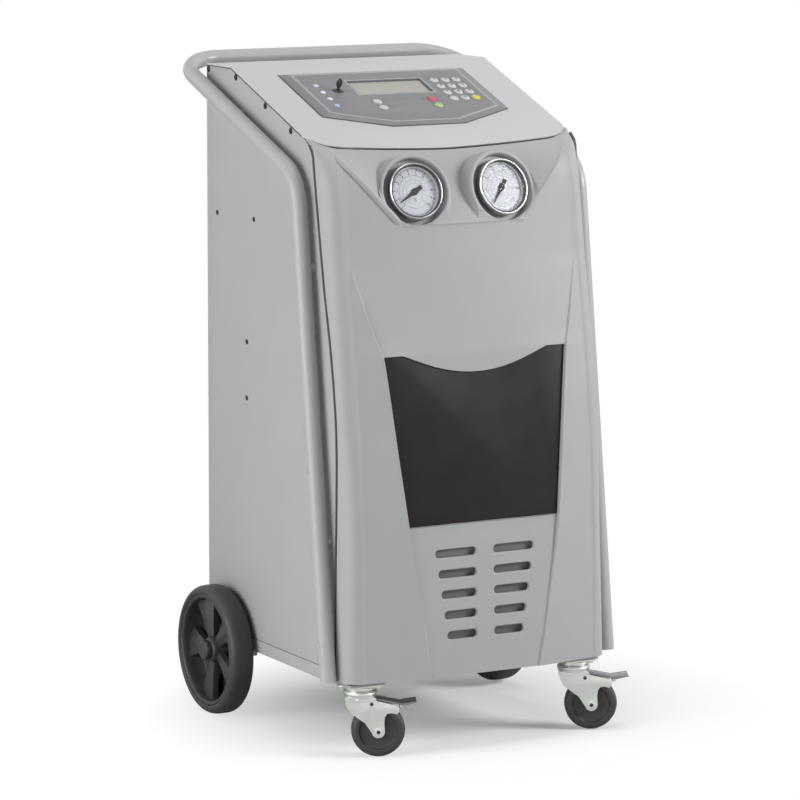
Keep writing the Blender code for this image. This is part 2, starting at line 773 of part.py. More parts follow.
def rear_panel():
    """Rear sheet with a row of air slots at its top and openings for the fittings."""
    y = REAR_Y - SHEET
    low = (-HALF_WIDTH + SHEET + FIT, y, BASE_Z + PAN_RISE + FIT)
    high = (HALF_WIDTH - SHEET - FIT, REAR_Y, TOP_Z - LID_SHEET - FIT)
    sheet = block(low, high)
    flange = block((low[0], y - 0.018, high[2] - SHEET), (high[0], y + 0.0005, high[2]))
    foot = block((low[0] + 0.002, y - 0.012, low[2]), (high[0] - 0.002, y + 0.0005, low[2] + SHEET))
    sheet = join(sheet, flange, foot)
    cutters = []
    for row in range(4):
        z = 1.02 + 0.028 * row
        for column in (-1, 1):
            place = Matrix.Translation((column * 0.075, y, z)) @ UPRIGHT
            cutters.append(flat_outline(stadium(0.12, 0.009, 4), 0.02, place))
    low_x, high_x, low_z, high_z = inlet_box()
    cutters.append(block((low_x - FIT, y - 0.01, low_z - FIT), (high_x + FIT, REAR_Y + 0.01, high_z + FIT)))
    for x in PORT_X:
        cutters.append(rod((x, y - 0.01, PORT_Z), (x, REAR_Y + 0.01, PORT_Z), PORT_R + FIT, 20))
    node("rear_panel", outward(cut(sheet, *cutters)), SILVER)


def inlet_box():
    return INLET_X - INLET_HALF[0], INLET_X + INLET_HALF[0], INLET_Z - INLET_HALF[1], INLET_Z + 0.030


def mains_inlet():
    """Appliance inlet and switch frame in one housing, set in the rear panel."""
    low_x, high_x, low_z, high_z = inlet_box()
    body = block((low_x, REAR_Y - 0.030, low_z), (high_x, REAR_Y + 0.001, high_z))
    flange = block((low_x - 0.005, REAR_Y + FIT, low_z - 0.006),
                   (high_x + 0.005, REAR_Y + 0.0035, high_z + 0.006))
    body = join(body, flange)
    socket = block((low_x + 0.002, REAR_Y - 0.020, low_z + 0.003),
                   (high_x - 0.002, REAR_Y + 0.01, INLET_Z + 0.001))
    well = block((low_x + 0.002, REAR_Y - 0.016, INLET_Z + 0.005),
                 (high_x - 0.002, REAR_Y + 0.01, high_z - 0.002))
    body = cut(body, socket, well)
    pins = [rod((x, REAR_Y - 0.0205, z), (x, REAR_Y - 0.004, z), 0.0016, 8)
            for x,
            z in ((INLET_X - 0.006, INLET_Z - 0.013), (INLET_X + 0.006, INLET_Z - 0.013),
                  (INLET_X, INLET_Z - 0.006))]
    node("mains_inlet", outward(join(body, *pins)), BLACK)


def power_switch():
    """Rocker that tips about a cross pin in the switch frame."""
    low_x, high_x, _, high_z = inlet_box()
    low, high = INLET_Z + 0.005, high_z - 0.002
    pivot = Vector(((low_x + high_x) / 2, REAR_Y - 0.005, (low + high) / 2))
    half = (high - low) / 2 - 0.0012
    outline = [(0.0075, half - 0.0005), (0.0035, 0.0), (0.0065, -half + 0.0005), (-0.004, -half + 0.003),
               (-0.006, 0), (-0.004, half - 0.003)]
    place = Matrix.Translation(pivot) @ SIDEWAYS
    rocker = flat_outline(outline, high_x - low_x - 0.004 - 2 * RUNNING, place)
    node("power_switch", rocker, ("switch_red", "a02c30", 0.4), pivot)


def hose_ports():
    """Two bulkhead couplings for the service hoses, on a bar behind the rear panel."""
    inner = REAR_Y - SHEET - FIT
    bar = block((PORT_X[0] - 0.02, inner - 0.006, PORT_Z - 0.014), (PORT_X[1] + 0.02, inner, PORT_Z + 0.014))
    pieces = []
    for x in PORT_X:
        pieces.append(rod((x, REAR_Y - 0.030, PORT_Z), (x, REAR_Y + 0.022, PORT_Z), PORT_R - 0.002, 20))
        pieces.append(rod((x, REAR_Y + FIT, PORT_Z), (x, REAR_Y + 0.008, PORT_Z), PORT_R + 0.005, 6))
    node("hose_ports", outward(join(bar, *pieces)), STEEL)


def top_lid():
    """The lid: flat top, sloping console and a nose that drops in the middle."""
    columns = 16
    shape = bmesh.new()
    rows = []
    for share in (0.0, 1.0):
        y = REAR_Y + (CONSOLE_BACK_Y - REAR_Y) * share
        rows.append([(x_at(i, columns), y, TOP_Z) for i in range(columns + 1)])
    shares = (0.50, 0.84, 0.93, 1.0)
    for share in shares:
        row = []
        for i in range(columns + 1):
            x = x_at(i, columns)
            edge_y, edge_z = lid_edge(x)
            y = CONSOLE_BACK_Y + (edge_y - CONSOLE_BACK_Y) * share
            drop = (console_z(edge_y) - edge_z) * max(0.0, (share - 0.84) / 0.16) ** 2
            row.append((x, y, console_z(y) - drop))
        rows.append(row)
    grid = [[shape.verts.new(point) for point in row] for row in rows]
    for back, front in zip(grid, grid[1:]):
        for i in range(columns):
            shape.faces.new((back[i], front[i], front[i + 1], back[i + 1]))
    mesh = bpy.data.meshes.new("lid")
    shape.to_mesh(mesh)
    shape.free()
    lid = link("lid", mesh)
    wall = lid.modifiers.new("Solidify", "SOLIDIFY")
    wall.thickness = LID_SHEET
    wall.offset = -1
    wall.use_even_offset = True
    lid = outward(settled(lid))
    frame = console_frame()
    window = block((-WINDOW_HALF_X, WINDOW_LOW_S, -0.02), (WINDOW_HALF_X, WINDOW_HIGH_S, 0.02))
    window.data.transform(frame)
    wells = []
    for x, s in key_places().values():
        wells.append(rod((x, s, -0.02), (x, s, 0.02), KEY_STEM_R + WELL_ROOM, 8))
    for x, s, radius in lamp_places():
        wells.append(rod((x, s, -0.02), (x, s, 0.02), radius + WELL_ROOM, 8))
    wells.append(rod((LOCK_X, LOCK_S, -0.02), (LOCK_X, LOCK_S, 0.02), LOCK_R - 0.002 + FIT, 16))
    for well in wells:
        well.data.transform(frame)
    node("top_lid", outward(cut(lid, window, *wells)), PALE)


def x_at(i, columns):
    """Columns that gather towards the sides, where the lid's edge turns back."""
    share = -1 + 2 * i / columns
    return HALF_WIDTH * math.sin(share * math.pi / 2)


def console_frame():
    """Local X across, Y up the slope, Z off its face; the origin is mid-width at the console's front."""
    up = Vector((0, math.cos(CONSOLE_TILT), math.sin(CONSOLE_TILT)))
    out = Vector((0, -math.sin(CONSOLE_TILT), math.cos(CONSOLE_TILT)))
    frame = Matrix((Vector((1, 0, 0)), up, out)).transposed().to_4x4()
    return Matrix.Translation((0, CONSOLE_FRONT_Y, CONSOLE_FRONT_Z)) @ frame


def key_places():
    """Name of each key, with its place across and up the console."""
    places = {}
    number = 1
    for row in range(4):
        for column in range(3):
            s = KEYPAD_S + KEY_STEP_S * (3 - row)
            places[f"keypad_key_{number:02d}"] = (KEYPAD_X + KEY_STEP_X * column, s)
            number += 1
    places["stop_key"] = (COMMAND_X, KEYPAD_S)
    places["start_key"] = (COMMAND_X, KEYPAD_S - COMMAND_STEP_S)
    places["menu_key_upper"] = (MENU_X, KEYPAD_S)
    places["menu_key_lower"] = (MENU_X, KEYPAD_S - COMMAND_STEP_S)
    return places


def lamp_places():
    lamps = [(LAMP_X, LAMP_LOW_S + LAMP_STEP_S * i, LAMP_R) for i in range(4)]
    return lamps + [(DOT_X, KEYPAD_S + DOT_LIFT, DOT_R), (DOT_X, KEYPAD_S - COMMAND_STEP_S, DOT_R)]


def control_panel():
    """Raised six-sided panel with sloping sides, keys, lamps, lock and display window."""
    def outline(inset):
        return [(-PANEL_HALF_X + inset, PANEL_TOP_S - inset * 0.7),
                (-PANEL_HALF_X + inset, PANEL_SIDE_S + inset * 0.3),
                (-PANEL_NOSE_X + inset * 0.5, PANEL_NOSE_S + inset * 0.6),
                (PANEL_NOSE_X - inset * 0.5, PANEL_NOSE_S + inset * 0.6),
                (PANEL_HALF_X - inset, PANEL_SIDE_S + inset * 0.3),
                (PANEL_HALF_X - inset, PANEL_TOP_S - inset * 0.7)]
    shape = bmesh.new()
    low = [shape.verts.new((x, s, FIT)) for x, s in outline(0.0)]
    mid = [shape.verts.new((x, s, 0.0014)) for x, s in outline(0.0)]
    high = [shape.verts.new((x, s, PANEL_HIGH)) for x, s in outline(PANEL_BEVEL)]
    count = len(low)
    shape.faces.new(low)
    shape.faces.new(high)
    for a, b in ((low, mid), (mid, high)):
        for i in range(count):
            j = (i + 1) % count
            shape.faces.new((a[i], a[j], b[j], b[i]))
    panel = from_bmesh("panel", shape)
    cutters = [block((-WINDOW_HALF_X, WINDOW_LOW_S, -0.01), (WINDOW_HALF_X, WINDOW_HIGH_S, 0.02))]
    for x, s in key_places().values():
        cutters.append(rod((x, s, -0.01), (x, s, 0.02), KEY_R + RUNNING, 14))
    for x, s, radius in lamp_places():
        cutters.append(rod((x, s, -0.01), (x, s, 0.02), radius + FIT, 10))
    cutters.append(rod((LOCK_X, LOCK_S, -0.01), (LOCK_X, LOCK_S, 0.02), LOCK_R + FIT, 20))
    panel = cut(panel, *cutters)
    panel.data.transform(console_frame())
    node("control_panel", outward(panel), GREY)


def keys():
    """Round domed caps, each on a stem that reaches the board below."""
    frame = console_frame()
    finishes = {"keypad_key_12": YELLOW, "stop_key": RED, "start_key": GREEN}
    for name, (x, s) in key_places().items():
        top = PANEL_HIGH + KEY_PROUD
        low = FIT + KEY_TRAVEL + FIT
        stem = -BOARD_DEEP + FIT
        profile = [(0.0, top), (KEY_R * 0.65, top - 0.0005), (KEY_R, top - 0.0022),
                   (KEY_R, low), (KEY_STEM_R, low), (KEY_STEM_R, stem + KEY_TRAVEL),
                   (0.0, stem + KEY_TRAVEL)]
        cap = turned(profile, Matrix.Translation((x, s, 0)), 14)
        cap.data.transform(frame)
        node(name, cap, finishes.get(name, KEY_GREY), frame @ Vector((x, s, low)))


def display_window():
    """Display module: its face lies below the panel, and it hangs through the lid onto the board."""
    top = PANEL_HIGH - WINDOW_DEEP
    glass = block((-WINDOW_HALF_X + FIT, WINDOW_LOW_S + FIT, -BOARD_DEEP + FIT),
                  (WINDOW_HALF_X - FIT, WINDOW_HIGH_S - FIT, top))
    glass.data.transform(console_frame())
    node("display_window", glass, ("display", "9c9b8f", 0.2))


def lock():
    """Lock barrel in the panel and the key that turns in it."""
    frame = console_frame()
    top = PANEL_HIGH + 0.0022
    slot_deep = 0.008
    profile = [(0.0, top), (LOCK_R - 0.0015, top), (LOCK_R + 0.0018, PANEL_HIGH + 0.0008),
               (LOCK_R + 0.0018, PANEL_HIGH + FIT),
               (LOCK_R, PANEL_HIGH + FIT), (LOCK_R, FIT * 2), (LOCK_R - 0.002, FIT * 2),
               (LOCK_R - 0.002, -0.010), (0.0, -0.010)]
    barrel = turned(profile, Matrix.Translation((LOCK_X, LOCK_S, 0)), 20)
    bore = rod((LOCK_X, LOCK_S, top - slot_deep), (LOCK_X, LOCK_S, top + 0.01), 0.0036 + RUNNING, 16)
    barrel = cut(barrel, bore)
    barrel.data.transform(frame)
    node("lock_barrel", outward(barrel), STEEL)
    shaft = rod((LOCK_X, LOCK_S, top - slot_deep + FIT), (LOCK_X, LOCK_S, top + 0.004), 0.0036, 12)
    turn = UPRIGHT
    place = Matrix.Translation((LOCK_X, LOCK_S, top + 0.0125)) @ turn
    bow = flat_outline(arc((0, 0.001), 0.0095, -60, 240, 12) + [(-0.003, -0.0095), (0.003, -0.0095)], 0.0026,
                       place)
    key = join(shaft, bow)
    key = cut(key,
              rod((LOCK_X, LOCK_S - 0.01, top + 0.018), (LOCK_X, LOCK_S + 0.01, top + 0.018), 0.0022, 10))
    key.data.transform(frame)
    pivot = frame @ Vector((LOCK_X, LOCK_S, top))
    node("switch_key", outward(key), BLACK, pivot)


def control_board():
    """Board under the panel, on pillars that reach the lid, with the lamps that shine through the panel."""
    board = block((-0.165, 0.060, -BOARD_DEEP - BOARD_THICK), (0.172, 0.235, -BOARD_DEEP))
    pillars = []
    for x in (-0.155, 0.1295 + 0.038):
        for s in (0.068, 0.227):
            pillars.append(rod((x, s, -BOARD_DEEP - BOARD_THICK / 2), (x, s, -LID_SHEET - FIT), 0.0035, 8))
    chips = [block((x, s, -BOARD_DEEP - BOARD_THICK - 0.012),
                   (x + 0.03, s + 0.02, -BOARD_DEEP - BOARD_THICK * 0.6))
             for x, s in ((-0.12, 0.12), (-0.02, 0.09), (0.06, 0.15))]
    lamps = [rod((x, s, -BOARD_DEEP - BOARD_THICK / 3), (x, s, PANEL_HIGH + LAMP_PROUD), radius, 10)
             for x, s, radius in lamp_places()]
    board = join(board, *pillars, *chips, *lamps)
    board.data.transform(console_frame())
    node("control_board", outward(board), BOARD)


def gauges():
    """Round gauges: each case is held in its collar, and a pipe leads from its stem to the manifold."""
    manifold_front = UPRIGHT_Y - MANIFOLD_DEEP
    back = GAUGE_LENGTH
    lip = 0.0042
    for name, side in (("low_pressure_gauge", -1), ("high_pressure_gauge", 1)):
        place = gauge_place(side)
        profile = [(GAUGE_BEZEL_R - 0.0012, 0.0), (GAUGE_BEZEL_R, -0.0025),
                   (GAUGE_BEZEL_R, -GAUGE_BEZEL_DEPTH),
                   (GAUGE_CASE_R, -GAUGE_BEZEL_DEPTH), (GAUGE_CASE_R, -back + 0.004),
                   (GAUGE_CASE_R - 0.004, -back),
                   (0.004, -back), (0.004, -back + GAUGE_WALL), (DIAL_R + FIT, -back + GAUGE_WALL),
                   (DIAL_R + FIT, -0.0025), (DIAL_R - lip, -0.0025), (DIAL_R - lip + 0.001, 0.0)]
        case = turned(profile, place, 28)
        end = place @ Vector((0, 0, -back - STEM_REACH))
        stem = rod(place @ Vector((0, 0, -back + 0.001)), end, STEM_R, 12)
        nut = rod(place @ Vector((0, 0, -back - 0.008)), place @ Vector((0, 0, -back - 0.020)),
                  STEM_R + 0.005, 6)
        pipe = rod((end.x, end.y - STEM_R, end.z), (end.x, manifold_front - FIT, end.z), GAUGE_PIPE_R, 12)
        node(name + "_case", outward(join(case, stem, nut, pipe)), BLACK)
        face = -DIAL_BACK
        dial = turned([(0.0030, face), (DIAL_R, face), (DIAL_R, -back + GAUGE_WALL + FIT),
                       (0.0030, -back + GAUGE_WALL + FIT)], place, 28)
        node(name + "_dial", dial, WHITE)
        lens = turned([(0.0, -0.0028), (DIAL_R, -0.0028), (DIAL_R, -0.0048), (0.0, -0.0048)], place, 28)
        node(name + "_lens", lens, GLASS)
        spin = place @ Matrix.Rotation(math.radians(POINTER_REST[side]), 4, "Z")
        needle = flat_outline([(-0.0115, 0.0022), (-0.0125, 0.0), (-0.0115, -0.0022), (0.0, -0.0016),
                               (0.0370, -0.0004), (0.0370, 0.0004), (0.0, 0.0016)], 0.0008,
                              spin @ Matrix.Translation((0, 0, face + 0.0016)))
        hub = rod(place @ Vector((0, 0, -back + GAUGE_WALL + 2 * FIT)),
                  place @ Vector((0, 0, face + 0.0028)), 0.0026, 12)
        boss = rod(place @ Vector((0, 0, face + 0.0010)), place @ Vector((0, 0, face + 0.0030)), 0.0040, 12)
        node(name + "_pointer", outward(join(hub, boss, needle)), BLACK, place @ Vector((0, 0, face)))


def tube_path():
    """Middle line of the right half of the handle, from its foot to the middle of the rear bar."""
    x = HALF_WIDTH + TUBE_OFFSET
    slope = math.tan(CONSOLE_TILT)
    below = TUBE_BELOW_CONSOLE / math.cos(CONSOLE_TILT)

    def rail_z(y):
        return CONSOLE_FRONT_Z + (y - CONSOLE_FRONT_Y) * slope - below

    foot = Vector((x, TUBE_FOOT_Y, TUBE_FOOT_Z))
    knee_y = (foot.y + TUBE_LEG_LEAN * (rail_z(0) - foot.z)) / (1 - TUBE_LEG_LEAN * slope)
    knee = Vector((x, knee_y, rail_z(knee_y)))
    bar_y = REAR_Y + TUBE_REACH
    corner = Vector((x, bar_y, rail_z(bar_y)))
    middle = Vector((0, bar_y, rail_z(bar_y)))
    path = [foot] + bend(foot, knee, corner, TUBE_BEND, 5) + bend(knee, corner, middle, TUBE_BEND, 6)
    return path, knee, foot, corner


def bend(before, corner, after, radius, steps):
    """Points of a round bend where two straight runs meet."""
    back, on = (before - corner).normalized(), (after - corner).normalized()
    angle = back.angle(on)
    reach = radius / math.tan(angle / 2)
    start = corner + back * reach
    centre = corner + (back + on).normalized() * (radius / math.sin(angle / 2))
    axis = (start - centre).cross(corner + on * reach - centre).normalized()
    sweep = math.pi - angle
    return [centre + Matrix.Rotation(sweep * i / steps, 3, axis) @ (start - centre)
            for i in range(steps + 1)]


def tube_solid(path, radius, sides):
    curve = bpy.data.curves.new("tube", "CURVE")
    curve.dimensions = "3D"
    curve.bevel_depth = radius
    curve.bevel_resolution = (sides - 4) // 2
    curve.use_fill_caps = False
    spline = curve.splines.new("POLY")
    spline.points.add(len(path) - 1)
    for knot, point in zip(spline.points, path):
        knot.co = (*point, 1.0)
    made = settled(link("tube", curve))
    wall = made.modifiers.new("Solidify", "SOLIDIFY")
    wall.thickness = TUBE_WALL
    wall.offset = -1
    return outward(settled(made))


def handle_tube():
    """One bent tube: up each front edge, along the console and across the back, on its spacers."""
    half, knee, foot, corner = tube_path()
    mirrored = [Vector((-p.x, p.y, p.z)) for p in reversed(half)]
    tube = tube_solid(half + mirrored, TUBE_R, 10)
    leg, rail = knee - foot, corner - knee
    stops = [foot + leg * 0.28, foot + leg * 0.82, knee + rail * 0.52]
    spacers = []
    for stop in stops:
        for side in (-1, 1):
            inner = side * (HALF_WIDTH + FIT)
            outer = side * (HALF_WIDTH + TUBE_OFFSET - TUBE_R + 0.0013)
            spacers.append(rod((inner, stop.y, stop.z), (outer, stop.y, stop.z), SPACER_R, 12))
    node("handle_tube", outward(join(tube, *spacers)), SILVER)


def rear_wheels():
    """Dished plastic wheels with solid rubber tyres and closed hubs, turning on a steel axle."""
    for label, side in (("left", -1), ("right", 1)):
        out = Matrix.Rotation(side * math.pi / 2, 4, "Y")
        place = Matrix.Translation((side * WHEEL_FACE_X, AXLE_Y, WHEEL_R)) @ out
        pivot = (side * WHEEL_FACE_X, AXLE_Y, WHEEL_R)
        rim_r = WHEEL_R - TYRE_THICK
        tyre = turned([(rim_r, -0.002), (WHEEL_R - 0.012, 0.0), (WHEEL_R - 0.005, -0.0025),
                       (WHEEL_R, -0.010),
                       (WHEEL_R, 0.010 - WHEEL_WIDE), (WHEEL_R - 0.006, -WHEEL_WIDE),
                       (rim_r, 0.002 - WHEEL_WIDE)], place, 36)
        node(f"rear_tyre_{label}", tyre, RUBBER, pivot)
        web_top = -DISH_DEPTH
        web_low = web_top - WEB_THICK
        bore_r = AXLE_R + RUNNING
        back = 0.001 - WHEEL_WIDE
        lip = 0.003 - WHEEL_WIDE
        wheel = turned([(0.0, CAP_PROUD), (CAP_R - 0.002, CAP_PROUD), (CAP_R, CAP_PROUD - 0.002),
                        (CAP_R, -HUB_SINK),
                        (HUB_R - 0.002, -HUB_SINK), (HUB_R, -HUB_SINK - 0.003), (HUB_R, web_top),
                        (DISH_R - 0.006, web_top),
                        (DISH_R, web_top + 0.006), (DISH_R + 0.0015, -0.003), (rim_r - FIT, -0.003),
                        (rim_r - FIT, lip),
                        (DISH_R - 0.002, lip), (DISH_R - 0.002, web_low), (HUB_R, web_low), (HUB_R, back),
                        (bore_r, back), (bore_r, -CAP_FOOT), (0.0, -CAP_FOOT)], place, 36)
        windows = []
        inner, outer = HUB_R + 0.012, DISH_R - 0.010
        for i in range(SPOKES):
            angle = 2 * math.pi * (i + 0.5) / SPOKES + SPOKE_START
            turn = place @ Matrix.Rotation(angle, 4, "Z") @ Matrix.Translation((0, 0, web_top))
            spread = math.degrees(math.pi / SPOKES) - SPOKE_HALF
            window = [(inner, 0.005), (inner, -0.005)] + arc((0, 0), outer, -spread, spread, 4)
            windows.append(flat_outline(window, 0.04, turn))
        node(f"rear_wheel_{label}", outward(cut(wheel, *windows)), BLACK, pivot)


def rear_axle():
    """Round axle with a collar against each wheel's inner face."""
    reach = WHEEL_FACE_X - CAP_FOOT - RUNNING
    axle = rod((-reach, AXLE_Y, WHEEL_R), (reach, AXLE_Y, WHEEL_R), AXLE_R, 20)
    collars = []
    inner = HALF_WIDTH - 0.034 + 0.014 + FIT
    outer = WHEEL_FACE_X - WHEEL_WIDE + 0.001 - FIT
    for side in (-1, 1):
        collars.append(rod((side * inner, AXLE_Y, WHEEL_R), (side * outer, AXLE_Y, WHEEL_R), AXLE_R + 0.003,
                           16))
    node("rear_axle", outward(join(axle, *collars)), STEEL)


def caster_place(side):
    return Matrix.Translation((side * CASTER_X, CASTER_Y, 0)) @ Matrix.Rotation(CASTER_TURN, 4, "Z")


def caster_plates():
    """Fixed tops of the casters: plate, upper race and kingpin."""
    top = BASE_Z - FIT
    for label, side in (("left", -1), ("right", 1)):
        x, y = side * CASTER_X, CASTER_Y
        plate = block((x - PLATE_HALF_X, y - PLATE_FORWARD, top - PLATE_THICK),
                      (x + PLATE_HALF_X, y + PLATE_BACK, top))
        race = rod((x, y, FORK_TOP + RUNNING), (x, y, top - PLATE_THICK / 2), CASTER_HEAD_R - 0.003, 24)
        pin = rod((x, y, FORK_CROWN - KINGPIN_HEAD / 2), (x, y, top - PLATE_THICK / 2), KINGPIN_R, 12)
        head = rod((x, y, FORK_CROWN - KINGPIN_HEAD), (x, y, FORK_CROWN - RUNNING), KINGPIN_HEAD_R, 12)
        node(f"caster_plate_{label}", outward(join(plate, race, pin, head)), ZINC)


def fork_outline():
    """One cheek of the fork, with the wing that guards the brake."""
    foot = arc((CASTER_TRAIL, CASTER_R), FORK_FOOT_R, 190, 350, 6)
    wing = [(0.0440, 0.066), (0.0450, 0.077), (0.0490, 0.0835), (0.0570, 0.0850), (0.067, 0.0825),
            (0.0715, 0.0870), (0.0715, 0.0950), (0.066, 0.0990), (0.045, 0.1045), (0.0295, 0.1080)]
    head = [(0.0270, FORK_CROWN + 0.001), (-0.0270, FORK_CROWN + 0.001), (-0.0275, 0.100), (-0.019, 0.086)]
    return foot + wing + head + [(0.0085, 0.0660)]


def caster_fork(place):
    """Crown with two cheeks, the axle bolt with its heads and the brake's pin."""
    half = CASTER_WIDE / 2 + WHEEL_ROOM
    outer = half + CASTER_CHEEK
    crown = rod((0, 0, FORK_CROWN), (0, 0, FORK_TOP), CASTER_HEAD_R, 20)
    pieces = []
    for hand in (-1, 1):
        shift = Matrix.Translation((0, hand * (half + outer) / 2, 0))
        pieces.append(flat_outline(fork_outline(), CASTER_CHEEK, shift @ UPRIGHT))
        pieces.append(rod((CASTER_TRAIL, hand * (outer - 0.0005), CASTER_R),
                          (CASTER_TRAIL, hand * (outer + BOLT_HEAD), CASTER_R), BOLT_HEAD_R, 6))
    bolt = rod((CASTER_TRAIL, -outer - 0.001, CASTER_R), (CASTER_TRAIL, outer + 0.001, CASTER_R), BOLT_R, 12)
    x, z = PEDAL_PIN
    pin = rod((x, -outer - 0.0012, z), (x, outer + 0.0012, z), PEDAL_PIN_R, 8)
    fork = join(crown, *pieces, bolt, pin)
    bore = rod((0, 0, FORK_CROWN - 0.01), (0, 0, FORK_TOP + 0.01), KINGPIN_R + RUNNING, 12)
    fork = cut(fork, bore)
    fork.data.transform(place)
    return outward(fork)


def caster_wheel(place):
    """Solid wheel with a rounded tread, a sunk disc and a boss that runs on the bolt."""
    tread = CASTER_WIDE / 2
    boss = tread + BOSS_PROUD
    bore = BOLT_R + RUNNING
    half = [(bore, boss), (BOSS_R, boss), (BOSS_R + 0.002, tread - DISC_SINK + 0.001),
            (RIM_R - 0.003, tread - DISC_SINK), (RIM_R, tread), (CASTER_R - 0.005, tread - 0.001),
            (CASTER_R, tread - TREAD_EDGE)]
    profile = half + [(radius, -height) for radius, height in reversed(half)]
    spin = Matrix.Translation((CASTER_TRAIL, 0, CASTER_R)) @ UPRIGHT
    return turned(profile, place @ spin, 28)


def brake_pedal(place):
    """The pedal's arm lies between the cheeks; its tread spreads past their ends."""
    x, z = PEDAL_PIN
    arm_outline = [(0.0165, 0.1068), (0.0165, 0.1118), (0.0300, 0.1115), (0.0730, 0.1030), (0.0755, 0.1030),
                   (0.0755, 0.0995), (0.0720, 0.1000), (0.0300, 0.1062)]
    tread_outline = [(0.0745, 0.0990), (0.0745, 0.1025), (0.1030, 0.1068), (0.1040, 0.1045),
                     (0.0800, 0.0990)]
    arm = flat_outline(arm_outline, PEDAL_ARM_WIDE, UPRIGHT)
    tread = flat_outline(tread_outline, PEDAL_TREAD_WIDE, UPRIGHT)
    pedal = cut(join(arm, tread), rod((x, -CASTER_WIDE, z), (x, CASTER_WIDE, z), PEDAL_PIN_R + RUNNING, 10))
    pedal.data.transform(place)
    return outward(pedal)


def casters():
    """Swivel casters with their brakes, both turned a little as in the photo."""
    for label, side in (("left", -1), ("right", 1)):
        place = caster_place(side)
        node(f"caster_fork_{label}", caster_fork(place), ZINC, (side * CASTER_X, CASTER_Y, FORK_CROWN))
        node(f"caster_wheel_{label}", caster_wheel(place), RUBBER,
             place @ Vector((CASTER_TRAIL, 0, CASTER_R)))
        node(f"brake_pedal_{label}", brake_pedal(place), DARK_STEEL,
             place @ Vector((PEDAL_PIN[0], 0, PEDAL_PIN[1])))


def floor_top():
    return BASE_Z + PAN_SHEET + FIT


def refrigerant_store():
    """Storage tank standing on the scale."""
    x, y = TANK_PLACE
    low = floor_top()
    scale_top = low + SCALE_TALL
    half = TANK_R
    base = block((x - half, y - half, low), (x + half, y + half, low + SCALE_BASE))
    cell = block((x - half * 0.75, y - CELL_HALF, low + SCALE_BASE - SEAM),
                 (x + half * 0.75, y + CELL_HALF, scale_top - SCALE_TOP + SEAM))
    plate = block((x - half, y - half, scale_top - SCALE_TOP), (x + half, y + half, scale_top))
    node("weighing_platform", outward(join(base, cell, plate)), ALUMINIUM)
    foot = scale_top + FIT
    top = foot + TANK_TALL
    wall = TANK_WALL
    sole = foot + TANK_FOOT_TALL - 0.030
    outer = [(0.0, foot), (TANK_FOOT_R, foot), (TANK_FOOT_R, sole), (half, foot + TANK_FOOT_TALL),
             (half, top - TANK_SHOULDER), (half - 0.008, top - 0.060), (half * 0.6, top - 0.034),
             (TANK_NECK_R, top - 0.022), (TANK_NECK_R - 0.002, top)]
    inner = [(TANK_BORE, top), (TANK_BORE, top - 0.026), (half * 0.6 - wall, top - 0.034 - wall),
             (half - 0.008 - wall, top - 0.060 - wall), (half - wall, top - TANK_SHOULDER),
             (half - wall, foot + TANK_FOOT_TALL), (TANK_FOOT_R - wall, sole), (0.0, sole)]
    tank = turned(outer + inner, Matrix.Translation((x, y, 0)), 28)
    across, along_y = TANK_VALVE
    valve = block((x - across, y - along_y, top - 0.012), (x + across, y + along_y, top + 0.016))
    bore = rod((x, y, top - 0.022), (x, y, top + 0.03), TANK_BORE, 28)
    node("refrigerant_tank", outward(cut(join(tank, valve), bore)), BLUE_TANK)


def compressor():
    """Hermetic compressor, a steel pot on its foot plate, drained through its bottom."""
    x, y = POT_PLACE
    low = floor_top()
    radius, wall = POT_R, POT_WALL
    top = low + POT_TALL
    foot = block((x - radius - POT_FOOT, y - radius + POT_FOOT / 2, low),
                 (x + radius + POT_FOOT, y + radius - POT_FOOT / 2, low + POT_FOOT))
    outer = [(0.0, top), (radius * 0.5, top - 0.005), (radius * 0.85, top - 0.023), (radius, top - 0.055),
             (radius, low + 0.050), (radius * 0.9, low + 0.022), (radius * 0.8, low + 0.009)]
    inner = [(POT_DRAIN_R, low + 0.009), (POT_DRAIN_R, low + 0.022), (radius * 0.8, low + 0.022 + wall),
             (radius - wall, low + 0.050), (radius - wall, top - 0.055),
             (radius * 0.85 - wall, top - 0.023 - wall), (radius * 0.5, top - 0.005 - wall),
             (0.0, top - wall)]
    pot = turned(outer + inner, Matrix.Translation((x, y, 0)), 24)
    port_z = low + POT_PORT_Z
    port = rod((x, y + radius - 0.002, port_z), (x, y + radius + 0.013, port_z), POT_PORT_R, 10)
    drain = rod((x, y, low - 0.01), (x, y, low + 0.016), POT_DRAIN_R, 24)
    node("compressor", outward(cut(join(foot, pot, port), drain)), BLACK)


def vacuum_pump():
    """Vane pump: oil case, motor and foot."""
    low = floor_top()
    sole = low + PUMP_FOOT[2]
    foot = block((PUMP_X - PUMP_HALF - 0.004, PUMP_FOOT[0], low),
                 (PUMP_X + PUMP_HALF + 0.004, PUMP_FOOT[1], sole))
    case = block((PUMP_X - PUMP_HALF, PUMP_CASE[0], sole - SEAM),
                 (PUMP_X + PUMP_HALF, PUMP_CASE[1], low + PUMP_CASE[2]), 0.006)
    shaft_z = low + PUMP_MOTOR_Z
    motor = rod((PUMP_X, PUMP_CASE[1] - 0.005, shaft_z), (PUMP_X, PUMP_FOOT[1] - 0.005, shaft_z),
                PUMP_MOTOR_R, 20)
    web = block((PUMP_X - 0.019, 0.120, sole - SEAM), (PUMP_X + 0.019, 0.190, shaft_z - 0.015))
    node("vacuum_pump", outward(join(foot, case, motor, web)), ALUMINIUM)


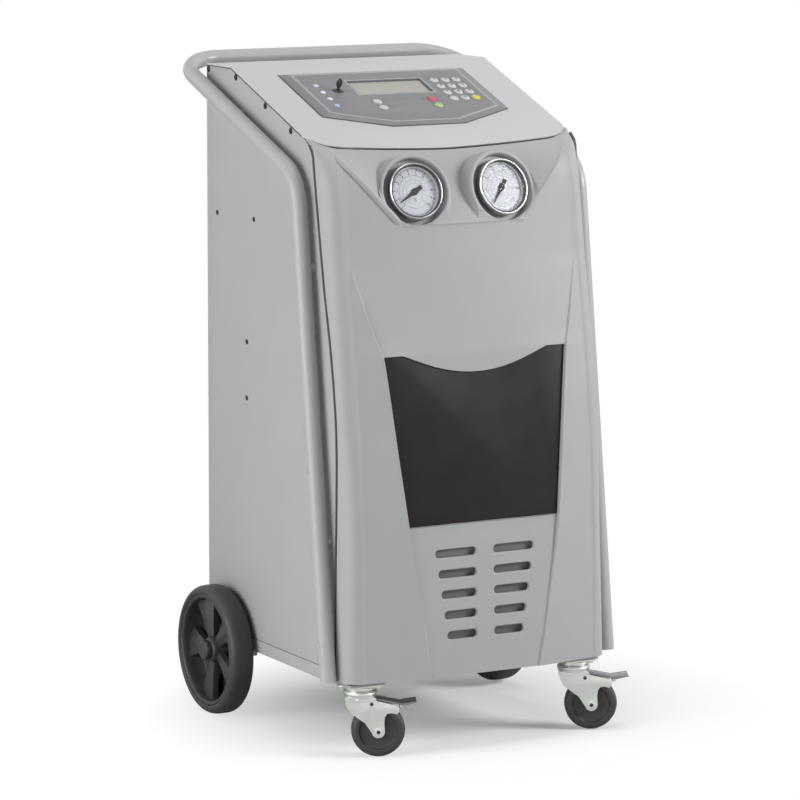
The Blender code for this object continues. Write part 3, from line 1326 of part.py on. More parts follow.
def condenser():
    """Finned coil with fan shroud and motor, behind the air slots."""
    low = floor_top()
    centre = Vector((0, COIL_Y, low + FAN_Z))
    behind = Vector((0, 1, 0))
    coil = block((-COIL_HALF, COIL_Y, low), (COIL_HALF, COIL_Y + COIL_DEEP, low + COIL_TALL))
    shroud = block((-SHROUD_HALF, COIL_Y + COIL_DEEP - SEAM, low),
                   (SHROUD_HALF, COIL_Y + SHROUD_DEEP, low + 2 * FAN_Z - 0.005))
    tunnel = rod(centre + behind * (COIL_DEEP + 0.002), centre + behind * 0.10, FAN_R + 0.004, 32)
    shroud = cut(shroud, tunnel)
    motor = rod(centre + behind * (ARM_SET - SEAM), centre + behind * 0.112, FAN_MOTOR_R, 16)
    shaft = rod(centre + behind * 0.0445, centre + behind * (ARM_SET + 0.0005), FAN_SHAFT_R, 12)
    near, far, long = COIL_Y + ARM_SET, COIL_Y + SHROUD_DEEP + 0.004, SHROUD_HALF - 0.010
    arms = [block((-long, near, centre.z - ARM_HALF), (long, far, centre.z + ARM_HALF)),
            block((-ARM_HALF, near, centre.z - long), (ARM_HALF, far, centre.z + long))]
    node("condenser", outward(join(coil, shroud, motor, shaft, *arms)), ALUMINIUM)
    pivot = centre + behind * FAN_SET
    place = Matrix.Translation(pivot) @ UPRIGHT
    bore = FAN_SHAFT_R + RUNNING
    hub = turned([(bore, FAN_HUB_HALF), (FAN_HUB_R, FAN_HUB_HALF), (FAN_HUB_R, -FAN_HUB_HALF),
                  (bore, -FAN_HUB_HALF)], place, 16)
    root = FAN_HUB_R - 0.0035
    outline = [(root, -0.007), (FAN_R - 0.004, -0.026), (FAN_R, 0.0), (FAN_R - 0.004, 0.024), (root, 0.007)]
    blades = []
    for i in range(FAN_BLADES):
        turn = Matrix.Rotation(2 * math.pi * i / FAN_BLADES, 4, "Z")
        blades.append(flat_outline(outline, 0.0018, place @ turn @ Matrix.Rotation(FAN_PITCH, 4, "X")))
    node("fan_rotor", outward(join(hub, *blades)), BLACK, pivot)


def valve_manifold():
    """Drilled block with three solenoid valves, bolted to the upright behind the gauges."""
    back = UPRIGHT_Y - FIT
    middle = GAUGE_Z - (GAUGE_LENGTH + STEM_REACH) * math.sin(GAUGE_LEAN)
    half_x, half_z = MANIFOLD_HALF
    body = block((-half_x, UPRIGHT_Y - MANIFOLD_DEEP, middle - half_z), (half_x, back, middle + half_z))
    valve_y = back - MANIFOLD_DEEP / 2
    high, low = middle - half_z + SEAM, middle - half_z - VALVE_TALL
    valves = [rod((x, valve_y, low), (x, valve_y, high), VALVE_R, 14)
              for x in VALVE_X]
    node("valve_manifold", outward(join(body, *valves)), ALUMINIUM)


def main():
    start_scene()
    chassis()
    side_panels()
    rear_panel()
    top_lid()
    front_cover()
    label_plate()
    handle_tube()
    control_panel()
    display_window()
    keys()
    lock()
    control_board()
    gauges()
    rear_wheels()
    rear_axle()
    caster_plates()
    casters()
    mains_inlet()
    power_switch()
    hose_ports()
    refrigerant_store()
    compressor()
    vacuum_pump()
    condenser()
    valve_manifold()


main()
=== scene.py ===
import json
import math

import bmesh
import bpy
import numpy as np
from mathutils import Matrix, Vector

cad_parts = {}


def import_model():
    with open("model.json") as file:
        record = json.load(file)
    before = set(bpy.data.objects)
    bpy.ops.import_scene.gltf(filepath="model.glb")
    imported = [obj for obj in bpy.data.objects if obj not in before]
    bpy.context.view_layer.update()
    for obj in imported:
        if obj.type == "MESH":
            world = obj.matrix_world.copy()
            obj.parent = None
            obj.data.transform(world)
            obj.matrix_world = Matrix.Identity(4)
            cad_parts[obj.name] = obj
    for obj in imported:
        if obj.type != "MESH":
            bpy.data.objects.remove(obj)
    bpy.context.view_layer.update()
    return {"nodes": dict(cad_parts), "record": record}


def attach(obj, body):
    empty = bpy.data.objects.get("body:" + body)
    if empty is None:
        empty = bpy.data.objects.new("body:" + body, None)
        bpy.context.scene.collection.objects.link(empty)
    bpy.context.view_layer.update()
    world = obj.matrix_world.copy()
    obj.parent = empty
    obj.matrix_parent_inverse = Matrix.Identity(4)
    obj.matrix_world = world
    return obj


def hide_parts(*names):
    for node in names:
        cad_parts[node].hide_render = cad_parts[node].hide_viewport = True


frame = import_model()
nodes = frame["nodes"]


# Colour and materials

def linear(text):
    """A colour as a paint chart writes it, turned to the light values that the shader takes."""
    channels = [int(text[i:i + 2], 16) / 255 for i in (0, 2, 4)]
    return [c / 12.92 if c <= 0.04045 else ((c + 0.055) / 1.055) ** 2.4 for c in channels] + [1.0]


def add(material, kind, settings, links=()):
    """Adds one node: settings fill its sockets or properties, links are (socket, node, output)."""
    tree = material.node_tree
    made = tree.nodes.new(kind)
    for name, value in settings.items():
        if name in made.inputs:
            made.inputs[name].default_value = value
        else:
            setattr(made, name, value)
    for socket, source, output in links:
        tree.links.new(source.outputs[output], made.inputs[socket])
    return made


def new_material(name, colour, roughness, **sockets):
    made = bpy.data.materials.new(name)
    made.use_nodes = True
    shader = made.node_tree.nodes["Principled BSDF"]
    shader.inputs["Base Color"].default_value = linear(colour)
    shader.inputs["Roughness"].default_value = roughness
    for socket, value in sockets.items():
        shader.inputs[socket.replace("_", " ")].default_value = value
    return made


def grain(material, size_mm, height_mm, detail=2.0):
    """A fine relief all over, such as the orange peel of a baked powder or the sparked skin of a mould."""
    place = add(material, "ShaderNodeTexCoord", {})
    noise = add(material, "ShaderNodeTexNoise",
                {"Scale": 1000 / size_mm, "Detail": detail, "Roughness": 0.5},
                [("Vector", place, "Object")])
    bump = add(material, "ShaderNodeBump", {"Strength": 1.0, "Distance": height_mm / 1000},
               [("Height", noise, "Fac")])
    shader = material.node_tree.nodes["Principled BSDF"]
    material.node_tree.links.new(bump.outputs["Normal"], shader.inputs["Normal"])
    return material


def patches(material, first, second, size_mm, smooth, dull):
    """Slow drift between two close colours and between two degrees of gloss, as handling leaves."""
    place = add(material, "ShaderNodeTexCoord", {})
    noise = add(material, "ShaderNodeTexNoise", {"Scale": 1000 / size_mm, "Detail": 3.0, "Roughness": 0.55},
                [("Vector", place, "Object")])
    blend = add(material, "ShaderNodeMix", {"data_type": "RGBA"}, [("Factor", noise, "Fac")])
    blend.inputs[6].default_value = linear(first)
    blend.inputs[7].default_value = linear(second)
    spread = add(material, "ShaderNodeMapRange",
                 {"From Min": 0.3, "From Max": 0.7, "To Min": smooth, "To Max": dull},
                 [("Value", noise, "Fac")])
    shader = material.node_tree.nodes["Principled BSDF"]
    material.node_tree.links.new(blend.outputs[2], shader.inputs["Base Color"])
    material.node_tree.links.new(spread.outputs["Result"], shader.inputs["Roughness"])
    return material


silver = patches(grain(new_material("silver_powder_coat", "aeb0af", 0.45, Specular_IOR_Level=0.2), 2.2,
                       0.05), "acaead", "b2b4b3", 90,
                 0.42, 0.52)
tube_paint = patches(grain(new_material("tube_paint", "b4b6b5", 0.3, Specular_IOR_Level=0.35), 2.6, 0.02),
                     "b2b4b3", "b7b9b8", 90, 0.26, 0.34)
pale = patches(grain(new_material("pale_textured_abs", "c6c8c9", 0.4, Specular_IOR_Level=0.5), 1.6, 0.02),
               "c4c6c7", "cacccd", 80, 0.34, 0.42)
cover_grey = patches(grain(new_material("cover_abs", "b0b1b2", 0.5, Specular_IOR_Level=0.2), 1.6, 0.04),
                     "aeafb0", "b4b5b6", 80, 0.42, 0.5)
panel_grey = patches(grain(new_material("panel_polycarbonate", "88888a", 0.45, Specular_IOR_Level=0.2), 0.9,
                           0.03), "868688", "8b8b8d", 40,
                     0.4, 0.5)
# The cover's grey made darker for the wall behind the slots: painted shade for the dim inside of the slots.
slot_shade_grey = patches(grain(new_material("inner_wall_painted_shade", "868788", 0.6, Specular_IOR_Level=0.2), 1.6, 0.04),
                    "838485", "898a8b", 80, 0.55, 0.65)
label_black = patches(grain(new_material("printed_black_film", "252326", 0.35, Specular_IOR_Level=0.2), 0.9,
                            0.02), "242225", "28262a", 60,
                      0.3, 0.42)
black = patches(grain(new_material("black_polyamide", "333133", 0.5), 1.2, 0.05), "302e30", "393739", 30,
                0.42, 0.58)
rubber = patches(grain(new_material("black_tyre_rubber", "363435", 0.6), 1.6, 0.06), "333132", "3b3939", 25,
                 0.48, 0.62)
zinc = patches(grain(new_material("zinc_plated_steel", "d4d7d2", 0.35, Metallic=1.0), 3.0, 0.02), "cfd3cd",
               "dcdfdb",
               14, 0.28, 0.42)
steel = patches(grain(new_material("bright_steel", "c4c6c8", 0.3, Metallic=1.0), 1.2, 0.02), "bfc1c3",
                "cacccd", 20,
                0.25, 0.38)
pedal_steel = patches(grain(new_material("pressed_pedal_steel", "85888b", 0.35, Metallic=1.0), 1.2, 0.03),
                      "7d8083",
                      "8f9295", 12, 0.3, 0.45)
dark_steel = patches(grain(new_material("blackened_steel", "3f4143", 0.4, Metallic=1.0), 1.2, 0.03),
                     "393b3d",
                     "4a4c4e", 12, 0.35, 0.5)
chrome = patches(grain(new_material("polished_bezel_steel", "b0b2b5", 0.2, Metallic=1.0), 1.0, 0.01),
                 "acaeb1",
                 "b5b7ba", 15, 0.12, 0.2)
dial_white = patches(grain(new_material("printed_dial_enamel", "d4d8e0", 0.5), 0.8, 0.01), "d2d6de",
                     "d8dbe3", 20,
                     0.45, 0.55)
glass = new_material("clear_glass", "ffffff", 0.03, IOR=1.45, Alpha=0.04)
ink = new_material("printing_ink", "2f3237", 0.9, Specular_IOR_Level=0.0)
pointer_black = new_material("pointer_enamel", "18181a", 0.8, Specular_IOR_Level=0.1)
ink_blue = new_material("scale_band_ink", "a9b4cb", 0.6)
white_line = new_material("pale_printed_line", "d6d6d8", 0.6)
lamp_white = new_material("lamp_lens_white", "dfe3f4", 0.25)
lamp_blue = new_material("lamp_lens_blue", "b0c2f2", 0.25)
lcd = new_material("display_glass", "aaa89f", 0.18)
# Dark grey of the frame inside the display's recess: painted shade for the recess's dim edge.
frame_shade_grey = new_material("window_frame_painted_shade", "5c5c5e", 0.5)
screw_black = new_material("black_oxide_screws", "2b2b2c", 0.45, Metallic=0.6)
key_grey = patches(grain(new_material("silicone_key", "c9cacc", 0.5), 0.8, 0.02), "c6c7c9", "cdced0", 8,
                   0.45, 0.55)
red = grain(new_material("red_key", "c8566a", 0.5), 0.8, 0.02)
green = grain(new_material("green_key", "a5cc84", 0.5), 0.8, 0.02)
yellow = grain(new_material("yellow_key", "dccb52", 0.5), 0.8, 0.02)
blue = grain(new_material("tank_enamel", "4d6a8c", 0.4), 1.5, 0.03)
board = grain(new_material("circuit_board", "2f6b45", 0.5), 1.5, 0.03)
display = new_material("display_film", "a09f92", 0.25)
switch_red = grain(new_material("rocker_red", "a02c30", 0.4), 0.8, 0.02)

FINISHES = {
    "cabinet_paint": silver, "lid_paint": pale, "cover_paint": cover_grey,
    "tube_paint": tube_paint, "label_face": label_black, "panel_grey": panel_grey, "display": display,
    "key_grey": key_grey, "key_yellow": yellow, "key_red": red, "key_green": green, "board": board,
    "lock_steel": steel, "black_plastic": black, "gauge_case": black, "dial": dial_white, "lens": glass,
    "pointer": pointer_black, "wheel_plastic": black, "tyre_rubber": rubber, "caster_rubber": rubber,
    "zinc": zinc,
    "axle_steel": steel, "pedal_steel": pedal_steel, "switch_red": switch_red, "port_steel": steel,
    "tank_enamel": blue, "compressor_black": black, "bare_aluminium": steel}

for entry in frame["record"]["subparts"]:
    solid = nodes[entry["node"]].data
    solid.materials.clear()
    solid.materials.append(FINISHES[entry["material_slot"]])


# The workbench: small steps that every piece is made with

def let_go():
    """Leaves edit mode and lets go of everything."""
    if bpy.context.object and bpy.context.object.mode != "OBJECT":
        bpy.ops.object.mode_set(mode="OBJECT")
    bpy.ops.object.select_all(action="DESELECT")


def take(piece):
    let_go()
    piece.select_set(True)
    bpy.context.view_layer.objects.active = piece
    return piece


def shape_on(piece):
    """Edit mode with all of the piece chosen."""
    take(piece)
    bpy.ops.object.mode_set(mode="EDIT")
    bpy.ops.mesh.select_mode(type="VERT")
    bpy.ops.mesh.select_all(action="SELECT")


def shape_off():
    bpy.ops.object.mode_set(mode="OBJECT")


def pick(piece, test, kind="FACE"):
    """In edit mode, chooses the faces, edges or points that pass the test."""
    bpy.ops.mesh.select_mode(type=kind)
    bpy.ops.mesh.select_all(action="DESELECT")
    shape = bmesh.from_edit_mesh(piece.data)
    for part in {"VERT": shape.verts, "EDGE": shape.edges, "FACE": shape.faces}[kind]:
        if test(part):
            part.select_set(True)
    bmesh.update_edit_mesh(piece.data)


def use(piece, kind, **settings):
    """Adds a modifier and applies it."""
    take(piece)
    step = piece.modifiers.new(kind.title(), kind)
    for name, value in settings.items():
        setattr(step, name, value)
    bpy.ops.object.modifier_apply(modifier=step.name)
    return piece


def soften(piece, width, segments=2, angle=35):
    """Breaks every sharp edge, as a file or a mould does."""
    return use(piece, "BEVEL", width=width, segments=segments, limit_method="ANGLE",
               angle_limit=math.radians(angle),
               harden_normals=False)


def carve(piece, *tools, operation="DIFFERENCE"):
    for tool in tools:
        use(piece, "BOOLEAN", object=tool, operation=operation, solver="EXACT")
    for tool in tools:
        bpy.data.objects.remove(tool, do_unlink=True)
    return piece


def settle(piece, place):
    """Moves the finished shape into the machine and leaves the object at the origin."""
    take(piece)
    bpy.ops.object.transform_apply(location=True, rotation=True, scale=True)
    piece.data.transform(place)
    return piece


def copy_of(node):
    """A welded copy of a solid, to be worked further."""
    piece = nodes[node].copy()
    piece.data = nodes[node].data.copy()
    bpy.context.scene.collection.objects.link(piece)
    piece.parent = None
    for tag in [key for key in piece.keys() if key.startswith("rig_")]:
        del piece[tag]
    shape_on(piece)
    bpy.ops.mesh.remove_doubles(threshold=0.00001)
    bpy.ops.mesh.tris_convert_to_quads(face_threshold=math.radians(1), shape_threshold=math.radians(180))
    shape_off()
    return piece


def joined(first, *others):
    take(first)
    for other in others:
        other.select_set(True)
    bpy.ops.object.join()
    return first


def hand_in(piece, name, finish, slot, body, *replaced, sharp=35):
    """Names the finished piece, paints it and puts it on its body, in place of the solids that it shows."""
    take(piece)
    bpy.ops.object.transform_apply(location=True, rotation=True, scale=True)
    bpy.ops.object.shade_smooth_by_angle(angle=math.radians(sharp))
    piece.name = piece.data.name = name
    piece.data.materials.clear()
    piece.data.materials.append(finish)
    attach(piece, body)
    if replaced:
        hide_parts(*replaced)
    let_go()
    return piece


def turned(profile, steps=64, open_ends=False):
    """A profile of (radius, height) points drawn point by point and spun about local Z."""
    let_go()
    bpy.ops.mesh.primitive_plane_add(size=0.001)
    piece = bpy.context.object
    bpy.ops.object.mode_set(mode="EDIT")
    bpy.ops.mesh.select_mode(type="VERT")
    bpy.ops.mesh.select_all(action="SELECT")
    bpy.ops.mesh.merge(type="CENTER")
    radius, height = profile[0]
    bpy.ops.transform.translate(value=(radius, 0, height))
    for next_radius, next_height in profile[1:]:
        bpy.ops.mesh.extrude_vertices_move(TRANSFORM_OT_translate={
            "value": (next_radius - radius, 0, next_height - height)})
        radius, height = next_radius, next_height
    if profile[0][0] > 0 and profile[-1][0] > 0 and not open_ends:
        shape = bmesh.from_edit_mesh(piece.data)
        shape.verts.ensure_lookup_table()
        ends = [v for v in shape.verts if len(v.link_edges) == 1]
        for v in shape.verts:
            v.select_set(v in ends)
        bmesh.update_edit_mesh(piece.data)
        bpy.ops.mesh.edge_face_add()
    bpy.ops.mesh.select_all(action="SELECT")
    bpy.ops.mesh.spin(steps=steps, angle=2 * math.pi, center=(0, 0, 0), axis=(0, 0, 1))
    bpy.ops.mesh.select_all(action="SELECT")
    bpy.ops.mesh.remove_doubles(threshold=0.000005)
    bpy.ops.mesh.normals_make_consistent(inside=False)
    shape_off()
    return piece


def slab(outline, low, high):
    """A plate of this outline in local X and Y, from one height to the other."""
    let_go()
    bpy.ops.mesh.primitive_circle_add(vertices=len(outline), radius=1, fill_type="NGON")
    piece = bpy.context.object
    for point, (x, y) in zip(piece.data.vertices, outline):
        point.co = (x, y, low)
    shape_on(piece)
    bpy.ops.mesh.extrude_region_move(TRANSFORM_OT_translate={"value": (0, 0, high - low)})
    bpy.ops.mesh.select_all(action="SELECT")
    bpy.ops.mesh.normals_make_consistent(inside=False)
    shape_off()
    return piece


def brick(low, high):
    """A block between two corners, to be worked further."""
    let_go()
    bpy.ops.mesh.primitive_cube_add(size=1, location=[(a + b) / 2 for a, b in zip(low, high)],
                                    scale=[b - a for a, b in zip(low, high)])
    return settle(bpy.context.object, Matrix())


def pin(start, end, radius, sides=32, end_radius=None):
    """A round bar between two points, to be worked further."""
    start, end = Vector(start), Vector(end)
    let_go()
    bpy.ops.mesh.primitive_cone_add(vertices=sides, radius1=radius,
                                    radius2=radius if end_radius is None else end_radius,
                                    depth=(end - start).length)
    aim = (end - start).to_track_quat("Z", "Y").to_matrix().to_4x4()
    return settle(bpy.context.object, Matrix.Translation((start + end) / 2) @ aim)


def grid_sheet(columns, rows, points):
    """A net of points laid on a surface: points takes the shares across and up, from 0 to 1."""
    let_go()
    bpy.ops.mesh.primitive_grid_add(x_subdivisions=columns, y_subdivisions=rows, size=2)
    piece = bpy.context.object
    co = np.empty(len(piece.data.vertices) * 3)
    piece.data.vertices.foreach_get("co", co)
    co = co.reshape(-1, 3)
    across = np.round((co[:, 0] + 1) / 2 * columns).astype(int)
    up = np.round((co[:, 1] + 1) / 2 * rows).astype(int)
    piece.data.vertices.foreach_set("co", points(across, up).ravel())
    piece.data.update()
    return piece


# Front cover

HALF_WIDTH = 0.2767
REAR_Y = 0.252
TOP_Z = 1.2484
CONSOLE_BACK_Y = 0.148
CONSOLE_FRONT_Y = -0.150
CONSOLE_TILT = math.radians(20)
CONSOLE_FRONT_Z = TOP_Z - 0.298 * math.tan(CONSOLE_TILT)
NOSE_BOW = 0.0365
NOSE_DROP = 0.0147
COVER_BOTTOM = 0.146
COVER_CORNER = 0.0287
COVER_FLARE = 0.006
COVER_FLARE_TOP = 0.42
COVER_WALL = 0.0062
EDGE = HALF_WIDTH - COVER_CORNER
LABEL_BOTTOM = 0.4314
LABEL_TOP = 0.745
CREASE_TOP = 0.9076
SHOULDER = 0.95 * EDGE
FACET_FOOT_Z = 0.9786
FACET_FOOT_X = 0.129
FACET_SIDE_RUN = 0.892
SEAM_TURN = 1.10
SEAM_LINE = [(0.146, 0.135), (0.38, 0.1265), (0.60, 0.1265), (0.74, 0.1075), (0.87, 0.0785), (1.03, 0.049),
             (1.10, 0.037)]
RIDGE_LINE = [(0.146, 0.1805), (0.348, 0.175), (0.525, 0.165), (0.612, 0.155), (0.709, 0.141),
              (0.805, 0.1245),
              (0.9076, 0.108), (0.98, 0.097), (1.04, 0.088), (1.066, 0.082), (1.095, 0.069), (1.115, 0.051),
              (1.127, 0.0365)]
APRON_LINE = [(0.146, 0.1985), (0.223, 0.2005), (0.30, 0.1985), (0.377, 0.195), (0.4314, 0.1897)]
LABEL_LINE = [(0.4314, 0.1897), (0.745, 0.1535)]
SHOULDER_LINE = [(0.745, 0.1535), (0.7702, 0.1435), (0.9076, 0.108)]
MIDDLE_LINE = [(0.745, 0.1535), (0.9786, 0.110), (1.15, 0.078)]
CREASE_HALF = [(0.146, 0.117), (0.291, 0.139), (0.4314, 0.1605), (0.587, 0.1776), (0.745, 0.195),
               (0.7702, 0.204),
               (0.9076, 0.240)]
APRON_SINK = 0.003
WING_LIFT = 0.003
FRONT_LIMIT = -0.3501
GAUGE_X = 0.0931
GAUGE_Z = CONSOLE_FRONT_Z - 0.0994
GAUGE_FRONT_Y = CONSOLE_FRONT_Y - 0.0945
GAUGE_LEAN = math.radians(18)
GAUGE_TOE = math.radians(4.5)


def smooth_line(points, height):
    """A smooth curve through (height, value) points, level beyond its ends."""
    at, value = np.array(points).T
    slope = np.empty_like(value)
    slope[1:-1] = (value[2:] - value[:-2]) / (at[2:] - at[:-2])
    slope[0] = (value[1] - value[0]) / (at[1] - at[0])
    slope[-1] = (value[-1] - value[-2]) / (at[-1] - at[-2])
    i = np.clip(np.searchsorted(at, height) - 1, 0, len(at) - 2)
    span = at[i + 1] - at[i]
    t = np.clip((height - at[i]) / span, 0, 1)
    return (value[i] * (1 + 2 * t) * (1 - t) ** 2 + value[i + 1] * t * t * (3 - 2 * t)
            + slope[i] * span * t * (1 - t) ** 2 + slope[i + 1] * span * t * t * (t - 1))


def ahead(line, z):
    return CONSOLE_FRONT_Y - smooth_line(line, z)


def console_z(y):
    return np.minimum(TOP_Z, CONSOLE_FRONT_Z + (y - CONSOLE_FRONT_Y) * math.tan(CONSOLE_TILT))


def lid_edge(x):
    """The lid's front edge, bowed forward and dropped in the middle."""
    share = np.minimum(np.abs(x) / HALF_WIDTH, 1.0)
    y = CONSOLE_FRONT_Y - NOSE_BOW * (1 - share ** 16)
    return y, console_z(y) - NOSE_DROP * (1 - share ** 1.5)


def side_seam_y(z):
    turn = np.clip((z - SEAM_TURN) / (CONSOLE_FRONT_Z - SEAM_TURN), 0, 1)
    return ahead(SEAM_LINE, np.minimum(z, SEAM_TURN)) + SEAM_LINE[-1][1] * turn ** 2


def crease_half(z):
    """Half the width of the cover's raised middle, and above it of the facet that carries the gauges."""
    low = np.minimum(smooth_line(CREASE_HALF, z), SHOULDER)
    between = SHOULDER + (FACET_FOOT_X - SHOULDER) * (z - CREASE_TOP) / (FACET_FOOT_Z - CREASE_TOP)
    high = np.minimum(FACET_FOOT_X + FACET_SIDE_RUN * (z - FACET_FOOT_Z), SHOULDER)
    return np.where(z <= CREASE_TOP, low, np.where(z <= FACET_FOOT_Z, between, high))


def bowed_face(x, z):
    """The cover's face above the label, without the gauges' facet."""
    across = np.abs(x)
    half = np.where(z < CREASE_TOP, crease_half(z), SHOULDER)
    ridge = ahead(RIDGE_LINE, z)
    shoulder = np.where(z < CREASE_TOP, ahead(SHOULDER_LINE, z), ridge)
    middle = ahead(MIDDLE_LINE, z)
    inside = middle + (shoulder - middle) * np.minimum(across / half, 1) ** 2
    outside = shoulder + (ridge - shoulder) * np.clip((across - half) / (EDGE - half), 0, 1)
    return np.where(across <= half, inside, outside)


def facet_foot(x):
    return FACET_FOOT_Z + np.maximum(0, np.abs(x) - FACET_FOOT_X) / FACET_SIDE_RUN


def plain_face(x, z):
    """The cover's outer face with sharp creases."""
    across = np.abs(x)
    half = crease_half(z)
    ridge = ahead(RIDGE_LINE, z)
    middle = np.where(z < LABEL_BOTTOM, ahead(APRON_LINE, z), ahead(LABEL_LINE, z))
    low = np.where(across <= half, middle,
                   middle + (ridge - middle) * np.clip((across - half) / (EDGE - half), 0, 1))
    foot = facet_foot(x)
    start = bowed_face(x, foot)
    edge_y, edge_z = lid_edge(x)
    facet = start + (edge_y - start) * np.clip((z - foot) / np.maximum(edge_z - foot, 0.001), 0, 1)
    high = np.where(z <= foot, bowed_face(x, z), facet)
    return np.where(z < LABEL_TOP, low, high)


def cover_face(x, z, radius=0.0025):
    """The same face with its creases rounded, the wings' raised edges and the fine beads along the lines."""
    total = 0
    steps = (-1.0, -0.5, 0.0, 0.5, 1.0)
    for right in steps:
        for up in steps:
            total = total + plain_face(x + right * radius, z + up * radius)
    face = total / len(steps) ** 2
    across = np.abs(x)
    half = crease_half(z)

    # Below the label the apron lies lower than the wings beside it
    inside = np.clip((half - across) / 0.0018, 0, 1)
    face = face + APRON_SINK * inside * np.clip((LABEL_BOTTOM - z) / 0.0012, 0, 1)
    wing = np.clip((CREASE_TOP - z) / 0.10, 0, 1) * np.clip((z - 0.30) / 0.12, 0, 1)
    fall = np.clip(1 - (across - half) / (EDGE - half), 0, 1)
    face = face - WING_LIFT * wing * fall * (1 - inside)
    rise = np.clip((CREASE_TOP - z) / 0.03, 0, 1)
    face = face - np.where(x < 0, 0.0011, 0.0006) * rise * np.exp(-((across - half - 0.0008) / 0.0016) ** 2)
    face = face - 0.0012 * rise * np.exp(-((across - EDGE) / 0.0024) ** 2)

    # The gauges' facet ends in a proud lower edge
    over = z - FACET_FOOT_Z
    under = np.clip((FACET_FOOT_X + 0.003 - across) / 0.006, 0, 1)
    proud = np.where(over > 0, np.exp(-(over / 0.016) ** 2), np.clip(1 + over / 0.0022, 0, 1))
    face = face - 0.0024 * under * proud
    return np.maximum(face, FRONT_LIMIT)


def shares_across():
    """Columns of the cover, gathered at its creases: 0 mid-width, 1 crease, 2 corner ridge, 3 side seam."""
    tight = np.array([0.0, 0.012, 0.024, 0.04])
    middle = np.concatenate([np.linspace(0, 0.95, 50), 1 - tight[::-1]])
    flank = np.concatenate([1 + tight[1:] * 1.5, np.linspace(1.1, 1.9, 12), 2 - tight[::-1] * 1.5])
    corner = np.concatenate([2 + tight[1:] * 1.5, np.linspace(2.09, 3, 16)])
    half = np.concatenate([middle, flank, corner])
    return np.concatenate([-half[:0:-1], half])


def heights_up():
    """Rows of the cover; past the last one they climb to the lid's edge."""
    spans = ((COVER_BOTTOM, LABEL_BOTTOM - 0.004, 30), (LABEL_BOTTOM - 0.004, LABEL_BOTTOM + 0.004, 6),
             (LABEL_BOTTOM + 0.004, LABEL_TOP - 0.004, 22), (LABEL_TOP - 0.004, LABEL_TOP + 0.004, 5),
             (LABEL_TOP + 0.004, CREASE_TOP, 20), (CREASE_TOP, FACET_FOOT_Z - 0.007, 12),
             (FACET_FOOT_Z - 0.007, FACET_FOOT_Z + 0.007, 10), (FACET_FOOT_Z + 0.007, 1.09, 36),
             (1.09, 1.14, 16))
    rows = [low + (high - low) * i / count for low, high, count in spans for i in range(count)]
    return np.array(rows + [1.14])


def cover_net(across, up):
    shares, heights = shares_across(), heights_up()
    share, level = shares[across], heights[up]
    amount = np.abs(share)
    side = np.sign(share)
    z = np.minimum(level, 1.09)

    def place(z):
        half = crease_half(z)
        x = np.where(amount <= 1, half * amount, half + (EDGE - half) * (amount - 1))
        turn = (3 - amount) * math.pi / 2
        drop = np.maximum(0, (COVER_FLARE_TOP - z) / (COVER_FLARE_TOP - COVER_BOTTOM))
        wide = HALF_WIDTH + COVER_FLARE * drop
        return np.where(amount <= 2, x, EDGE + (wide - EDGE) * np.cos(turn)), turn
    x, turn = place(z)
    top = lid_edge(x)[1] - 0.0042
    climb = np.clip((level - 1.09) / 0.05, 0, 1)
    z = np.where(level > 1.09, 1.09 + climb * (top - 1.09), level)
    x, turn = place(z)
    face = cover_face(np.minimum(x, EDGE), z)
    seam = side_seam_y(z)
    y = np.where(amount <= 2, face, seam + (cover_face(np.full_like(z, EDGE), z) - seam) * np.sin(turn))
    return np.stack([side * x, y, z], axis=1)


def label_place():
    """Local X across, local Y up the plate, local Z out of its face."""
    foot = Vector((0, float(ahead(LABEL_LINE, LABEL_BOTTOM)), LABEL_BOTTOM))
    head = Vector((0, float(ahead(LABEL_LINE, LABEL_TOP)), LABEL_TOP))
    up = (head - foot).normalized()
    out = Vector((1, 0, 0)).cross(up)
    turn = Matrix((Vector((1, 0, 0)), up, out)).transposed().to_4x4()
    return Matrix.Translation(foot) @ turn, (head - foot).length


def label_outline(inset):
    """Outline of the plate, its top edge dipped between two ears with soft corners."""
    tall = label_place()[1]
    low_half = 0.1585 - inset
    high_half = 0.193 - inset
    ear = high_half - 0.040
    stops = [ear - 2 * ear * i / 40 for i in range(41)]
    dip = [(x, tall - inset - 0.0378 * (1 - (x / ear) ** 2) ** 1.15) for x in stops]
    return [(-low_half, inset), (low_half, inset),
            (high_half, tall - inset)] + dip + [(-high_half, tall - inset)]


def gauge_place(side):
    """Local Z out of the gauge's face; the origin is the middle of its face."""
    turn = Matrix.Rotation(side * GAUGE_TOE, 4, "Z") @ Matrix.Rotation(math.pi / 2 - GAUGE_LEAN, 4, "X")
    return Matrix.Translation((side * GAUGE_X, GAUGE_FRONT_Y, GAUGE_Z)) @ turn


def slot_tool(side, row):
    """Cuts one air slot, with a slope round its mouth."""
    z = 0.2231 + 0.03855 * row
    outer = 0.1053 - 0.0059 * (4 - row)
    end = 0.0081
    reach = (outer - 0.0182) / 2 - end
    face = float(ahead(APRON_LINE, z)) + APRON_SINK
    let_go()
    bpy.ops.mesh.primitive_cylinder_add(vertices=32, radius=end, depth=0.030, rotation=(math.pi / 2, 0, 0))
    tool = settle(bpy.context.object, Matrix.Translation((0, 0.0165, 0)))
    shape_on(tool)
    pick(tool, lambda v: v.co.x > 0.0001, "VERT")
    bpy.ops.transform.translate(value=(reach, 0, 0))
    pick(tool, lambda v: v.co.x < -0.0001, "VERT")
    bpy.ops.transform.translate(value=(-reach, 0, 0))
    pick(tool, lambda f: f.normal.y < -0.9)
    bpy.ops.mesh.extrude_region_move(TRANSFORM_OT_translate={"value": (0, -0.004, 0)})
    bpy.ops.transform.resize(value=(1 + 0.0042 / (reach + end), 1, 1 + 0.0042 / end),
                             center_override=(0, 0, 0))
    shape_off()
    return settle(tool, Matrix.Translation((side * (0.0182 + outer) / 2, face, z)))


